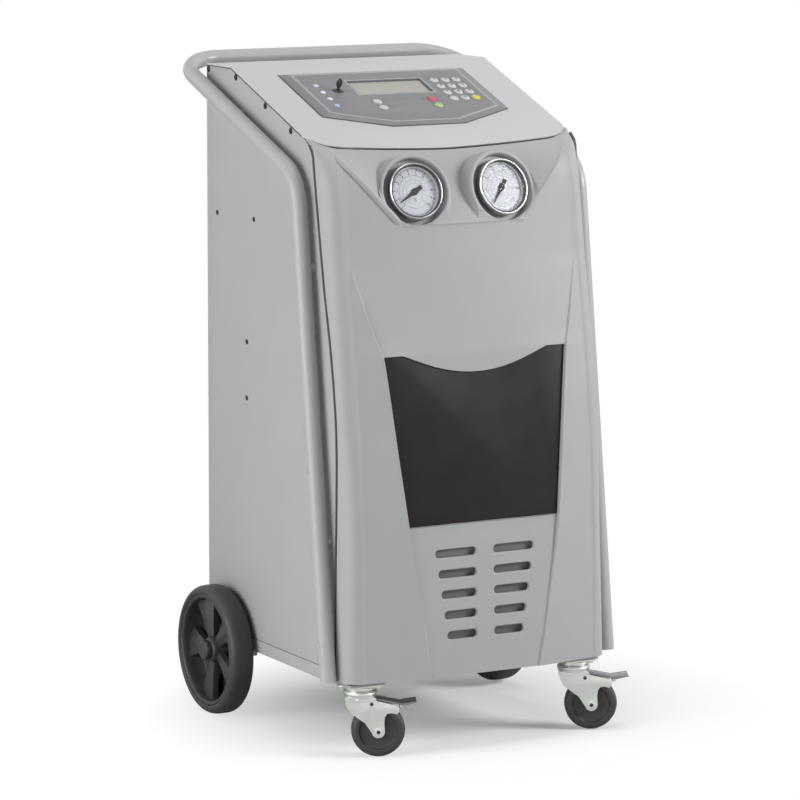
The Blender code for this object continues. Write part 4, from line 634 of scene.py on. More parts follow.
def make_slot_backing():
    """The wall that is seen through the slots, a finger's breadth behind them, in a grey darker than the
    cover's: painted shade for the dim inside of the slots.
    """
    low = float(ahead(APRON_LINE, 0.23)) + APRON_SINK + 0.013
    wall = brick((-0.120, low, 0.200), (0.120, low + 0.0015, 0.402))
    shape_on(wall)
    for z in (0.2424, 0.2809, 0.3195, 0.3580):
        bpy.ops.mesh.select_all(action="SELECT")
        bpy.ops.mesh.bisect(plane_co=(0, 0, z), plane_no=(0, 0, 1))
    pick(wall, lambda v: v.co.z > 0.3, "VERT")
    bpy.ops.transform.translate(value=(0, 0.003, 0))
    shape_off()
    hand_in(wall, "slot_backing", slot_shade_grey, "cover_paint", "cabinet")


def make_front_cover():
    cover = grid_sheet(len(shares_across()) - 1, len(heights_up()) - 1, cover_net)
    shape_on(cover)
    bpy.ops.mesh.extrude_region_move(TRANSFORM_OT_translate={"value": (0, COVER_WALL, 0)})
    bpy.ops.transform.resize(value=(1 - COVER_WALL / HALF_WIDTH, 1, 1), center_override=(0, 0, 0))
    bpy.ops.mesh.select_all(action="SELECT")
    bpy.ops.mesh.normals_make_consistent(inside=False)
    shape_off()
    place = label_place()[0]
    seat = settle(slab(label_outline(0.0), -LABEL_SINK, 0.008), place)
    tools = [slot_tool(side, row) for side in (-1, 1) for row in range(5)]
    for side in (-1, 1):
        at = gauge_place(side)
        tools.append(pin(at @ Vector((0, 0, 0.05)), at @ Vector((0, 0, -0.15)), 0.0660, 64))
    carve(cover, seat, joined(*tools))
    hand_in(cover, "front_cover_shell", cover_grey, "cover_paint", "cabinet", "front_cover", sharp=40)


LABEL_SINK = 0.0045


def make_label():
    place = label_place()[0]
    plate = slab(label_outline(0.0006), -LABEL_SINK + 0.0002, -LABEL_SINK + 0.0010)
    shape_on(plate)
    pick(plate, lambda f: f.normal.z > 0.9)
    bpy.ops.mesh.inset(thickness=0.0012, depth=0.0003)
    shape_off()
    hand_in(settle(plate, place), "black_face_plate", label_black, "label_face", "cabinet", "label_plate")


# Gauge collars

COLLAR_R = 0.072
COLLAR_BORE = 0.0635
COLLAR_FRONT = -0.0047
COLLAR_FLOOR = -0.019


def collar_reach(angle, side):
    """The collar's outline: round, but with its inner side straight down to the facet's lower edge."""
    x, y = side * np.cos(angle), np.sin(angle)
    corner = np.array((-0.0595, -0.066))
    reach = np.full_like(x, COLLAR_R)
    for start, end in (((-COLLAR_R, 0.0), corner), (corner, (0.0, -COLLAR_R))):
        along = np.array(end) - np.array(start)
        cross = x * along[1] - y * along[0]
        hit = (start[0] * along[1] - start[1] * along[0]) / np.where(np.abs(cross) < 1e-9, 1e-9, cross)
        where = (x < 0) & (y < 0) & (hit > COLLAR_R * 0.99) & (hit < 0.1)
        reach = np.where(where, np.maximum(reach, np.minimum(hit, 0.0889)), reach)
    return reach


def make_collar(side, name):
    """A ring of many sections: a fillet off the facet, the wall, a rounded rim, the bore and its floor."""
    place = gauge_place(side)
    turn = np.array(place.to_3x3())
    centre = np.array(place.translation)

    def world(x, y, depth):
        return centre + np.stack([x, y, depth], axis=-1) @ turn.T

    def to_facet(x, y):
        """How deep under the gauge's face the cover's face lies at this place."""
        depth = np.full_like(x, -0.03)
        for _ in range(30):
            point = world(x, y, depth)
            depth = depth + (point[..., 1]
                             - cover_face(point[..., 0], np.clip(point[..., 2], 0.8, 1.12))) * 0.8
        return depth

    segments = 128
    angle = np.linspace(0, 2 * math.pi, segments, endpoint=False)
    reach = collar_reach(angle, side)
    loops = []
    for wide, up in ((0.0085, -0.0006), (0.0060, 0.0001), (0.0036, 0.0010), (0.0018, 0.0026),
                     (0.0006, 0.0052),
                     (0.0001, 0.0095)):
        far = reach + wide
        base = to_facet(far * np.cos(angle), far * np.sin(angle))
        wall = np.maximum(COLLAR_FRONT - base, 0.0)
        size = np.clip(wall / 0.016, 0, 1)
        loops.append((reach + wide * (0.25 + 0.75 * size), base + np.maximum(up * size, -0.0006)))
    for inward, back in ((0.0000, 0.0052), (0.0005, 0.0028), (0.0016, 0.0011), (0.0032, 0.0002)):
        loops.append((reach - inward, np.full_like(reach, COLLAR_FRONT - back)))
    for radius, depth in ((COLLAR_BORE + 0.0028, COLLAR_FRONT),
                          (COLLAR_BORE + 0.0009, COLLAR_FRONT - 0.0006),
                          (COLLAR_BORE, COLLAR_FRONT - 0.0022), (COLLAR_BORE - 0.0004, COLLAR_FLOOR + 0.002),
                          (COLLAR_BORE - 0.002, COLLAR_FLOOR), (0.0502, COLLAR_FLOOR),
                          (0.0502, COLLAR_FLOOR - 0.003),
                          (COLLAR_BORE + 0.002, COLLAR_FLOOR - 0.003)):
        loops.append((np.full_like(reach, radius), np.full_like(reach, depth)))
    last = to_facet((reach + 0.004) * np.cos(angle), (reach + 0.004) * np.sin(angle))
    loops.append((reach + 0.004, last - 0.003))
    let_go()
    bpy.ops.mesh.primitive_torus_add(major_segments=segments, minor_segments=len(loops))
    piece = bpy.context.object
    points = []
    for i in range(segments):
        for radius, depth in loops:
            points.append((radius[i] * math.cos(angle[i]), radius[i] * math.sin(angle[i]), depth[i]))
    points = np.array(points)
    spot = world(points[:, 0], points[:, 1], points[:, 2])
    front = bowed_face(spot[:, 0], spot[:, 2]) + 0.0003
    spot[:, 1] = np.where(spot[:, 2] < 1.0, np.maximum(spot[:, 1], front), spot[:, 1])
    piece.data.vertices.foreach_set("co", spot.ravel())
    piece.data.update()
    shape_on(piece)
    bpy.ops.mesh.normals_make_consistent(inside=False)
    shape_off()
    hand_in(piece, name, cover_grey, "cover_paint", "cabinet", sharp=50)


def make_bead(name, start, end, radius, proud):
    """A rounded bead along a straight line of the cover, from one (x, z) point to another."""
    count, around = 70, 10

    def net(across, up):
        t = across / count
        x = start[0] + (end[0] - start[0]) * t
        z = start[1] + (end[1] - start[1]) * t
        long = math.hypot(end[0] - start[0], end[1] - start[1])
        side_x, side_z = (end[1] - start[1]) / long, -(end[0] - start[0]) / long
        turn = math.pi * (up / around)
        fade = np.clip(np.minimum(t, 1 - t) / 0.05, 0, 1) ** 0.5
        off = np.cos(turn) * radius * (0.3 + 0.7 * fade)
        spot_x, spot_z = x + side_x * off, z + side_z * off
        y = cover_face(spot_x, spot_z) + 0.0004 - np.sin(turn) * proud * fade
        return np.stack([spot_x, np.maximum(y, FRONT_LIMIT), spot_z], axis=1)
    bead = grid_sheet(count, around, net)
    use(bead, "SOLIDIFY", thickness=0.0008, offset=0)
    hand_in(bead, name, cover_grey, "cover_paint", "cabinet", sharp=60)


# Lid, side panels and floor pan

def make_lid():
    columns = 80
    back = np.array([0.0, 0.5, 0.9, 0.97, 1.0])
    rows = np.concatenate([np.linspace(0, 0.78, 30), np.linspace(0.79, 1, 26)])

    def net(across, up):
        share = -1 + 2 * across / columns
        x = HALF_WIDTH * np.sin(share * math.pi / 2)
        edge_y, edge_z = lid_edge(x)
        front = up < len(rows)
        t = rows[::-1][np.clip(up, 0, len(rows) - 1)]
        y = CONSOLE_BACK_Y + (edge_y - CONSOLE_BACK_Y) * t
        drop = (console_z(edge_y) - edge_z) * np.maximum(0, (t - 0.84) / 0.16) ** 2
        flat = back[np.clip(up - len(rows), 0, len(back) - 1)]
        y = np.where(front, y, CONSOLE_BACK_Y + (REAR_Y - CONSOLE_BACK_Y) * flat)
        z = np.where(front, console_z(y) - drop, TOP_Z)
        return np.stack([x, y, z], axis=1)
    lid = grid_sheet(columns, len(rows) + len(back) - 1, net)
    shape_on(lid)
    bpy.ops.mesh.remove_doubles(threshold=0.00001)
    shape_off()
    use(lid, "SOLIDIFY", thickness=0.0025, offset=-1, use_even_offset=True)
    hole = settle(slab([(-0.160, 0.085), (0.1655, 0.085), (0.1655, 0.2222), (-0.160, 0.2222)], -0.02, 0.02),
                  console_place())
    carve(lid, hole)
    soften(lid, 0.0006, 2, 40)
    hand_in(lid, "top_lid_shell", pale, "lid_paint", "cabinet", "top_lid", sharp=30)

    def strip(across, up):
        x = HALF_WIDTH * np.sin((-1 + 2 * across / 160) * math.pi / 2)
        edge_y, edge_z = lid_edge(x)
        return np.stack([x * 0.9995, edge_y + 0.0006, edge_z - 0.0024 - 0.0020 * up], axis=1)
    seal = grid_sheet(160, 1, strip)
    use(seal, "SOLIDIFY", thickness=0.0008, offset=0)
    hand_in(seal, "lid_front_seal", rubber, "lid_paint", "cabinet", sharp=60)


def console_place():
    """Local X across, local Y up the slope, local Z off its face, from mid-width at the console's front."""
    up = Vector((0, math.cos(CONSOLE_TILT), math.sin(CONSOLE_TILT)))
    out = Vector((0, -math.sin(CONSOLE_TILT), math.cos(CONSOLE_TILT)))
    turn = Matrix((Vector((1, 0, 0)), up, out)).transposed().to_4x4()
    return Matrix.Translation((0, CONSOLE_FRONT_Y, CONSOLE_FRONT_Z)) @ turn


def make_sheet_metal():
    for node, name, width in (("side_panel_left", "left_side_sheet", 0.0005),
                              ("side_panel_right", "right_side_sheet", 0.0005),
                              ("rear_panel", "rear_sheet", 0.0005),
                              ("chassis", "floor_pan_and_upright", 0.0008)):
        piece = copy_of(node)
        soften(piece, width, 2, 40)
        hand_in(piece, name, silver, "cabinet_paint", "cabinet", node)


# Gauges

GAUGE_REST = {-1: 212, 1: 232}
DIAL_FACE = -0.0095


def printed(words, height, place, lift=0.00008):
    """Printed characters, as a skin on the surface that they lie on."""
    let_go()
    bpy.ops.object.text_add()
    text = bpy.context.object
    text.data.body = words
    text.data.size = height * 1.4
    text.data.align_x = "CENTER"
    text.data.align_y = "CENTER"
    text.data.resolution_u = 4
    text.data.extrude = lift
    bpy.ops.object.convert(target="MESH")
    return settle(text, place)


def print_ring(inner, outer, low, start=0.0, sweep=360.0, steps=90):
    """A printed band round the dial, or a stretch of it."""
    let_go()
    bpy.ops.mesh.primitive_plane_add(size=1, location=(0, 0, 0))
    band = bpy.context.object
    for point, co in zip(band.data.vertices, ((inner, 0, low), (outer, 0, low), (inner, 0, low + 0.0001),
                                              (outer, 0, low + 0.0001))):
        point.co = co
    shape_on(band)
    bpy.ops.transform.rotate(value=-math.radians(start), orient_axis="Z", center_override=(0, 0, 0))
    bpy.ops.mesh.spin(steps=steps, angle=math.radians(sweep), center=(0, 0, 0), axis=(0, 0, 1))
    bpy.ops.mesh.select_all(action="SELECT")
    bpy.ops.mesh.remove_doubles(threshold=0.000002)
    bpy.ops.mesh.normals_make_consistent(inside=False)
    shape_off()
    return band


def scale_marks(count, first, last, inner, outer, width, every=1, longer=0.0):
    """Radial marks of a scale; each one that starts a number is longer."""
    marks = []
    for i in range(count + 1):
        angle = math.radians(first + (last - first) * i / count)
        reach = outer + (longer if i % every == 0 else 0)
        mark = brick((inner, -width / 2, DIAL_FACE), (reach, width / 2, DIAL_FACE + 0.0001))
        mark.data.transform(Matrix.Rotation(angle, 4, "Z"))
        marks.append(mark)
    return joined(*marks)


def make_gauge(side, label, numbers):
    place = gauge_place(side)
    node = f"{label}_pressure_gauge"
    away = place.inverted()
    case = copy_of(node + "_case")
    shape_on(case)

    def lip(v):
        spot = away @ v.co
        return spot.z > -0.004 and math.hypot(spot.x, spot.y) < 0.0450
    pick(case, lip, "VERT")
    grow = 0.0472 / 0.0433
    bpy.ops.transform.resize(value=(grow, grow, grow), center_override=place.translation)
    shape_off()
    soften(case, 0.0006, 2, 30)
    hand_in(case, f"{label}_gauge_case", black, "gauge_case", "cabinet", node + "_case")
    bezel = turned([(0.0474, -0.0060), (0.0476, -0.0040), (0.0486, -0.0018), (0.0500, -0.0002),
                    (0.0508, 0.0004),
                    (0.0517, 0.0005), (0.0526, 0.0000), (0.0532, -0.0012), (0.0534, -0.0030),
                    (0.0534, -0.0100),
                    (0.0538, -0.0110), (0.0534, -0.0118), (0.0528, -0.0116), (0.0528, -0.0060)], 128)
    hand_in(settle(bezel, place), f"{label}_gauge_bezel", chrome, "gauge_case", "cabinet", sharp=60)

    dial = turned([(0.0032, DIAL_FACE), (0.0462, DIAL_FACE), (0.0472, DIAL_FACE + 0.0010),
                   (0.0474, DIAL_FACE + 0.0016),
                   (0.0474, DIAL_FACE - 0.012), (0.0032, DIAL_FACE - 0.012)], 96)
    hand_in(settle(dial, place), f"{label}_gauge_dial_plate", dial_white, "dial", "cabinet", node + "_dial")
    top, bottom = 225, -45
    prints = [print_ring(0.0434, 0.0440, DIAL_FACE, bottom, 270),
              print_ring(0.0308, 0.0312, DIAL_FACE, bottom, 270),
              print_ring(0.0231, 0.0234, DIAL_FACE, bottom, 270), print_ring(0.0159, 0.0162, DIAL_FACE),
              scale_marks(60, top, bottom, 0.0408, 0.0436, 0.0005, 8, 0.0),
              scale_marks(len(numbers) - 1, top, bottom, 0.0385, 0.0436, 0.0012),
              scale_marks(40, top, bottom, 0.0294, 0.0310, 0.0004),
              scale_marks(30, top, bottom, 0.0219, 0.0233, 0.0004)]
    for i, word in enumerate(numbers):
        angle = math.radians(top + (bottom - top) * i / (len(numbers) - 1))
        for radius, size in ((0.0346, 0.0054), (0.0266, 0.0028), (0.0194, 0.0025)):
            spot = Matrix.Translation((radius * math.cos(angle), radius * math.sin(angle), DIAL_FACE))
            prints.append(printed(str(word), size, spot))
    for words, y in (("bar", -0.0130), ("\u00b0C", -0.0180)):
        prints.append(printed(words, 0.0034, Matrix.Translation((0, y, DIAL_FACE))))
    hand_in(settle(joined(*prints), place), f"{label}_gauge_scale", ink, "dial", "cabinet")
    band = (print_ring(0.0441, 0.0462, DIAL_FACE, -45, 100) if side < 0
            else print_ring(0.0441, 0.0462, DIAL_FACE, -45, 55))
    hand_in(settle(band, place), f"{label}_gauge_band", ink_blue, "dial", "cabinet")

    spin = place @ Matrix.Rotation(math.radians(GAUGE_REST[side]), 4, "Z")
    needle = slab([(-0.0172, 0.0040), (-0.0178, 0.0032), (-0.0178, -0.0032), (-0.0172, -0.0040),
                   (-0.0060, -0.0044),
                   (-0.0040, -0.0056), (0.0, -0.0064), (0.0040, -0.0056), (0.0090, -0.0034),
                   (0.0180, -0.0021),
                   (0.0375, -0.0006), (0.0380, 0.0), (0.0375, 0.0006), (0.0180, 0.0021), (0.0090, 0.0034),
                   (0.0040, 0.0056), (0.0, 0.0064), (-0.0040, 0.0056), (-0.0060, 0.0044)],
                  DIAL_FACE + 0.0012, DIAL_FACE + 0.0019)
    soften(needle, 0.0002, 2)
    boss = turned([(0.0, DIAL_FACE + 0.0036), (0.0024, DIAL_FACE + 0.0034), (0.0032, DIAL_FACE + 0.0026),
                   (0.0036, DIAL_FACE + 0.0010), (0.0026, DIAL_FACE + 0.0008), (0.0026, DIAL_FACE - 0.014),
                   (0.0, DIAL_FACE - 0.014)], 32)
    hand_in(settle(joined(needle, boss), spin), f"{label}_gauge_needle", pointer_black, "pointer",
            f"{label}_pointer",
            node + "_pointer")
    lens = turned([(0.0, -0.0022), (0.0300, -0.0026), (0.0466, -0.0030), (0.0470, -0.0036),
                   (0.0466, -0.0046),
                   (0.0, -0.0046)], 64)
    hand_in(settle(lens, place), f"{label}_gauge_glass", glass, "lens", "cabinet", node + "_lens")


# Console

PANEL_HIGH = 0.0056
KEY_R = 0.0098


def panel_outline(half_x, top, side_s, nose_x, nose_s):
    return [(-half_x, top), (-half_x, side_s), (-nose_x, nose_s), (nose_x, nose_s), (half_x, side_s),
            (half_x, top)]


def frame_line(outline, width, low, high):
    """A flat line of even width along a closed outline, set a little into the surface."""
    let_go()
    bpy.ops.mesh.primitive_circle_add(vertices=len(outline), radius=1, fill_type="NGON")
    line = bpy.context.object
    for point, (x, y) in zip(line.data.vertices, outline):
        point.co = (x, y, low)
    shape_on(line)
    bpy.ops.mesh.inset(thickness=width, depth=0)
    pick(line, lambda f: len(f.verts) == len(outline) and len(outline) != 4 or f.calc_area() > 0.5 * (
        max(x for x, y in outline) - min(x for x, y in outline)) * (
        max(y for x, y in outline) - min(y for x, y in outline)))
    bpy.ops.mesh.delete(type="FACE")
    shape_off()
    return use(line, "SOLIDIFY", thickness=high - low, offset=0)


def key_places():
    places = {}
    for number in range(12):
        places[f"keypad_key_{number + 1:02d}"] = (0.1053 + 0.0240 * (number % 3),
                                                  0.2084 - 0.0278 * (number // 3))
    places["stop_key"] = (0.0573, 0.1250)
    places["start_key"] = (0.0573, 0.0976)
    places["menu_key_upper"] = (-0.0612, 0.1250)
    places["menu_key_lower"] = (-0.0612, 0.0976)
    return places


def make_keys():
    """Round soft keys with a domed top; the keypad carries its numbers."""
    place = console_place()
    finishes = {"keypad_key_12": yellow, "stop_key": red, "start_key": green}
    slots = {"keypad_key_12": "key_yellow", "stop_key": "key_red", "start_key": "key_green"}
    words = {f"keypad_key_{i + 1:02d}": str(i + 1) for i in range(9)}
    words["keypad_key_11"] = "0"
    for name, (x, s) in key_places().items():
        top = PANEL_HIGH + 0.0024
        cap = turned([(0.0, top + 0.0004), (0.0035, top + 0.0003), (0.0062, top - 0.0001),
                      (0.0080, top - 0.0008),
                      (0.0091, top - 0.0016), (0.0096, top - 0.0026), (KEY_R, top - 0.0040), (KEY_R, 0.0014),
                      (0.0030, 0.0014), (0.0030, -0.0090), (0.0, -0.0090)], 48)
        hand_in(settle(cap, place @ Matrix.Translation((x, s, 0))), name + "_cap",
                finishes.get(name, key_grey),
                slots.get(name, "key_grey"), name, name, sharp=50)
        if name in words:
            mark = printed(words[name], 0.0072, place @ Matrix.Translation((x, s, top + 0.0003)), 0.0002)
            hand_in(mark, name + "_number", ink, "key_grey", name)
        collar = turned([(KEY_R + 0.0006, PANEL_HIGH + 0.0004), (KEY_R + 0.0010, PANEL_HIGH + 0.0006),
                         (KEY_R + 0.0016, PANEL_HIGH + 0.0004), (KEY_R + 0.0019, PANEL_HIGH - 0.0003),
                         (KEY_R + 0.0006, PANEL_HIGH - 0.0003)], 48)
        hand_in(settle(collar, place @ Matrix.Translation((x, s, 0))), name + "_rim", panel_grey,
                "panel_grey",
                "cabinet", sharp=60)


def make_console():
    place = console_place()
    plate = soften(copy_of("control_panel"), 0.0008, 3, 20)
    hand_in(plate, "console_plate", panel_grey, "panel_grey", "cabinet", "control_panel")
    # A black slab under the plate's edge, showing as a dark line round it: painted shade for the gap between
    # plate and lid.
    gap = slab(panel_outline(0.2001, 0.2701, 0.0790, 0.0774, 0.0252), -0.0010, 0.0010)
    hand_in(settle(gap, place), "console_shadow_gap", black, "black_plastic", "cabinet")
    lines = []
    for inset in (0.0, 0.0036):
        outline = panel_outline(0.1812 - inset, 0.2584 - inset * 0.8, 0.0850 + inset * 0.3,
                                0.0690 - inset * 0.4,
                                0.0345 + inset * 0.8)
        lines.append(frame_line(outline, 0.0010, PANEL_HIGH, PANEL_HIGH + 0.0002))
    window = [(-0.0830, 0.1572), (0.0830, 0.1572), (0.0830, 0.2240), (-0.0830, 0.2240)]
    lines.append(frame_line(window, 0.0011, PANEL_HIGH, PANEL_HIGH + 0.0002))
    hand_in(settle(joined(*lines), place), "console_border_lines", white_line, "panel_grey", "cabinet")

    low = PANEL_HIGH - 0.0030
    display_box = slab([(-0.0792, 0.1607), (0.0792, 0.1607), (0.0792, 0.2203), (-0.0792, 0.2203)], -0.0100,
                       low)
    shape_on(display_box)
    pick(display_box, lambda f: f.normal.z > 0.9)
    bpy.ops.mesh.inset(thickness=0.0030, depth=-0.0006)
    shape_off()
    hand_in(settle(display_box, place), "display_glass", lcd, "display", "cabinet", "display_window")
    # A dark frame round the display inside its recess, painted shade for the recess's dim edge.
    rim = frame_line([(-0.0794, 0.1605), (0.0794, 0.1605), (0.0794, 0.2205), (-0.0794, 0.2205)], 0.0016,
                     low + 0.0003,
                     low + 0.0012)
    hand_in(settle(rim, place), "display_frame", frame_shade_grey, "display", "cabinet")

    for i, finish in enumerate((lamp_blue, lamp_white, lamp_white, lamp_white)):
        at = Matrix.Translation((-0.1512, 0.1155 + 0.0299 * i, 0))
        lens = turned([(0.0, PANEL_HIGH + 0.0024), (0.0026, PANEL_HIGH + 0.0021),
                       (0.0046, PANEL_HIGH + 0.0011),
                       (0.0057, PANEL_HIGH + 0.0001), (0.0057, PANEL_HIGH - 0.0004),
                       (0.0, PANEL_HIGH - 0.0004)], 32)
        hand_in(settle(lens, place @ at), f"indicator_lamp_{i + 1}", finish, "board", "cabinet", sharp=70)
    for name, finish, s in (("stop_dot", red, 0.1252), ("start_dot", green, 0.0976)):
        dot = turned([(0.0, PANEL_HIGH + 0.0010), (0.0016, PANEL_HIGH + 0.0007),
                      (0.0025, PANEL_HIGH - 0.0002),
                      (0.0, PANEL_HIGH - 0.0003)], 24)
        hand_in(settle(dot, place @ Matrix.Translation((0.0397, s, 0))), name, finish, "board", "cabinet",
                sharp=70)

    barrel = soften(copy_of("lock_barrel"), 0.0004, 2, 30)
    hand_in(barrel, "lock_barrel_turned", dark_steel, "lock_steel", "cabinet", "lock_barrel")
    key = copy_of("switch_key")
    shape_on(key)
    bpy.ops.mesh.select_all(action="SELECT")
    bpy.ops.transform.resize(value=(0.62, 1, 1), center_override=place @ Vector((-0.1175, 0.1791, 0.0)))
    shape_off()
    soften(key, 0.0004, 2, 30)
    hand_in(key, "lock_key", black, "black_plastic", "switch_key", "switch_key")


# Handle tube

def bend(before, corner, after, radius, steps):
    """Points of a round bend where two straight runs meet."""
    back, on = (before - corner).normalized(), (after - corner).normalized()
    angle = back.angle(on)
    reach = radius / math.tan(angle / 2)
    start = corner + back * reach
    centre = corner + (back + on).normalized() * (radius / math.sin(angle / 2))
    axis = (start - centre).cross(corner + on * reach - centre).normalized()
    sweep = math.pi - angle
    return [centre + Matrix.Rotation(sweep * i / steps, 3, axis) @ (start - centre)
            for i in range(steps + 1)]


def rail_z(y):
    return CONSOLE_FRONT_Z + (y - CONSOLE_FRONT_Y) * math.tan(CONSOLE_TILT) - 0.0608 / math.cos(CONSOLE_TILT)


def make_handle():
    """One hollow tube up each front edge, along the console and across the back, left open at its feet."""
    x = HALF_WIDTH + 0.0233
    foot = Vector((x, -0.2885, 0.1472))
    lean = 0.1326
    knee_y = (foot.y + lean * (rail_z(0) - foot.z)) / (1 - lean * math.tan(CONSOLE_TILT))
    knee = Vector((x, knee_y, rail_z(knee_y)))
    corner = Vector((x, 0.3353, rail_z(0.3353)))
    middle = Vector((0, 0.3353, rail_z(0.3353)))
    half = ([foot] + bend(foot, knee, corner, 0.085, 24) + bend(knee, corner, middle, 0.085, 28) + [middle])
    path = half + [Vector((-p.x, p.y, p.z)) for p in reversed(half[:-1])]
    curve = bpy.data.curves.new("handle", "CURVE")
    curve.dimensions = "3D"
    curve.bevel_depth = 0.015
    curve.bevel_resolution = 12
    spline = curve.splines.new("POLY")
    spline.points.add(len(path) - 1)
    for knot, point in zip(spline.points, path):
        knot.co = (*point, 1.0)
    holder = bpy.data.objects.new("handle", curve)
    bpy.context.scene.collection.objects.link(holder)
    take(holder)
    bpy.ops.object.convert(target="MESH")
    tube = use(bpy.context.object, "SOLIDIFY", thickness=0.002, offset=-1)
    leg, rail = knee - foot, corner - knee
    spacers = []
    for stop in (foot + leg * 0.28, foot + leg * 0.82, knee + rail * 0.52):
        for side in (-1, 1):
            spacer = turned([(0.0, 0.0), (0.0078, 0.0), (0.0080, 0.0008), (0.0062, 0.0016), (0.0060, 0.0098),
                             (0.0, 0.0098)], 32)
            turn = Matrix.Rotation(side * math.pi / 2, 4, "Y")
            spacers.append(settle(spacer,
                                  Matrix.Translation((side * (HALF_WIDTH + 0.0003), stop.y, stop.z)) @ turn))
    hand_in(joined(tube, *spacers), "bent_handle_tube", tube_paint, "tube_paint", "cabinet", "handle_tube")


# Screws, seals and joints

def make_screw(name, place, radius, high, finish, slot="cabinet_paint", drive=True):
    """Round-headed screw with a round socket sunk in it; local Z points out of the panel."""
    deep = 0.45 * high if drive else high
    head = turned([(0.0, deep), (radius * 0.38, deep), (radius * 0.44, high), (radius * 0.66, high * 0.96),
                   (radius * 0.86, high * 0.68), (radius * 0.97, high * 0.32), (radius, 0.0), (0.0, 0.0)],
                  36)
    washer = turned([(radius * 0.6, 0.0001), (radius * 1.22, 0.0001), (radius * 1.26, 0.0004),
                     (radius * 1.18, 0.0007),
                     (radius * 0.6, 0.0007)], 36)
    hand_in(settle(joined(head, washer), place), name, finish, slot, "cabinet", sharp=40)


def side_place(side, y, z):
    return Matrix.Translation((side * HALF_WIDTH, y, z)) @ Matrix.Rotation(side * math.pi / 2, 4, "Y")


def make_screws():
    for side, label in ((-1, "left"), (1, "right")):
        for i, (y,
                z) in enumerate(((0.2430, 1.2388), (0.1274, 1.2302), (0.0054, 1.1853), (-0.0976, 1.1469))):
            make_screw(f"{label}_slope_screw_{i + 1}", side_place(side, y, z), 0.0052, 0.0024, screw_black)
        for i, (y, z) in enumerate(((0.2085, 0.966), (0.0542, 0.9678), (0.0852, 0.7311), (0.0860, 0.6232))):
            make_screw(f"{label}_panel_screw_{i + 1}", side_place(side, y, z), 0.0040, 0.0018, screw_black)
        for i, (y, z) in enumerate(((-0.1848, 0.970), (-0.2587, 0.4588))):
            make_screw(f"{label}_cover_screw_{i + 1}", side_place(side, y - 0.004, z), 0.0046, 0.0022,
                       silver)
        # The seal between the side sheet and the cover
        count = 90

        def net(across, up):
            z = 0.149 + (1.1262 - 0.149) * across / count
            out = HALF_WIDTH + COVER_FLARE * np.maximum(0,
                                                        (COVER_FLARE_TOP - z) / (COVER_FLARE_TOP
                                                                                 - COVER_BOTTOM))
            swell = 0.0006 + 0.0060 * np.clip((z - 0.87) / 0.24, 0, 1) * (side > 0)
            bulge = np.sin(math.pi * up / 4)
            y = side_seam_y(z) - 0.0004 + (up / 4 - 0.5) * (0.0017 + swell * 0.4)
            return np.stack([side * (out - 0.0004 + swell * bulge), y, z], axis=1)
        seal = grid_sheet(count, 4, net)
        use(seal, "SOLIDIFY", thickness=0.0025, offset=-side)
        hand_in(seal, f"{label}_cover_seal", rubber, "cover_paint", "cabinet", sharp=60)
        joint = brick((side * (HALF_WIDTH - 0.001) - 0.0012, -0.262, 0.1605),
                      (side * (HALF_WIDTH - 0.001) + 0.0012, REAR_Y, 0.1617))
        hand_in(soften(joint, 0.0002), f"{label}_pan_joint", rubber, "cabinet_paint", "cabinet")
        # A black strip painted in as the shade in the gap between the side sheet and the lid that caps it
        front = float(lid_edge(np.array([HALF_WIDTH]))[0][0]) + 0.012
        line = [(front, float(console_z(front)) - 0.0028), (CONSOLE_BACK_Y, TOP_Z - 0.0026),
                (REAR_Y - 0.001, TOP_Z - 0.0026)]
        outline = line + [(y, z - 0.0014) for y, z in reversed(line)]
        shadow = slab(outline, side * HALF_WIDTH - 0.0012, side * HALF_WIDTH + 0.0012)
        shadow = settle(shadow, Matrix(((0, 0, 1, 0), (1, 0, 0, 0), (0, 1, 0, 0), (0, 0, 0, 1))))
        hand_in(soften(shadow, 0.0002), f"{label}_lid_shadow_strip", rubber, "cabinet_paint", "cabinet")
    for i, (x, z) in enumerate([(side * 0.262, z) for side in (-1, 1) for z in (0.20, 0.52, 0.86, 1.20)]):
        place = Matrix.Translation((x, REAR_Y, z)) @ Matrix.Rotation(-math.pi / 2, 4, "X")
        make_screw(f"rear_screw_{i + 1}", place, 0.0040, 0.0018, screw_black)


# Rear wheels

WHEEL_FACE_X = HALF_WIDTH + 0.0568
AXLE_Y = 0.159
WHEEL_R = 0.125


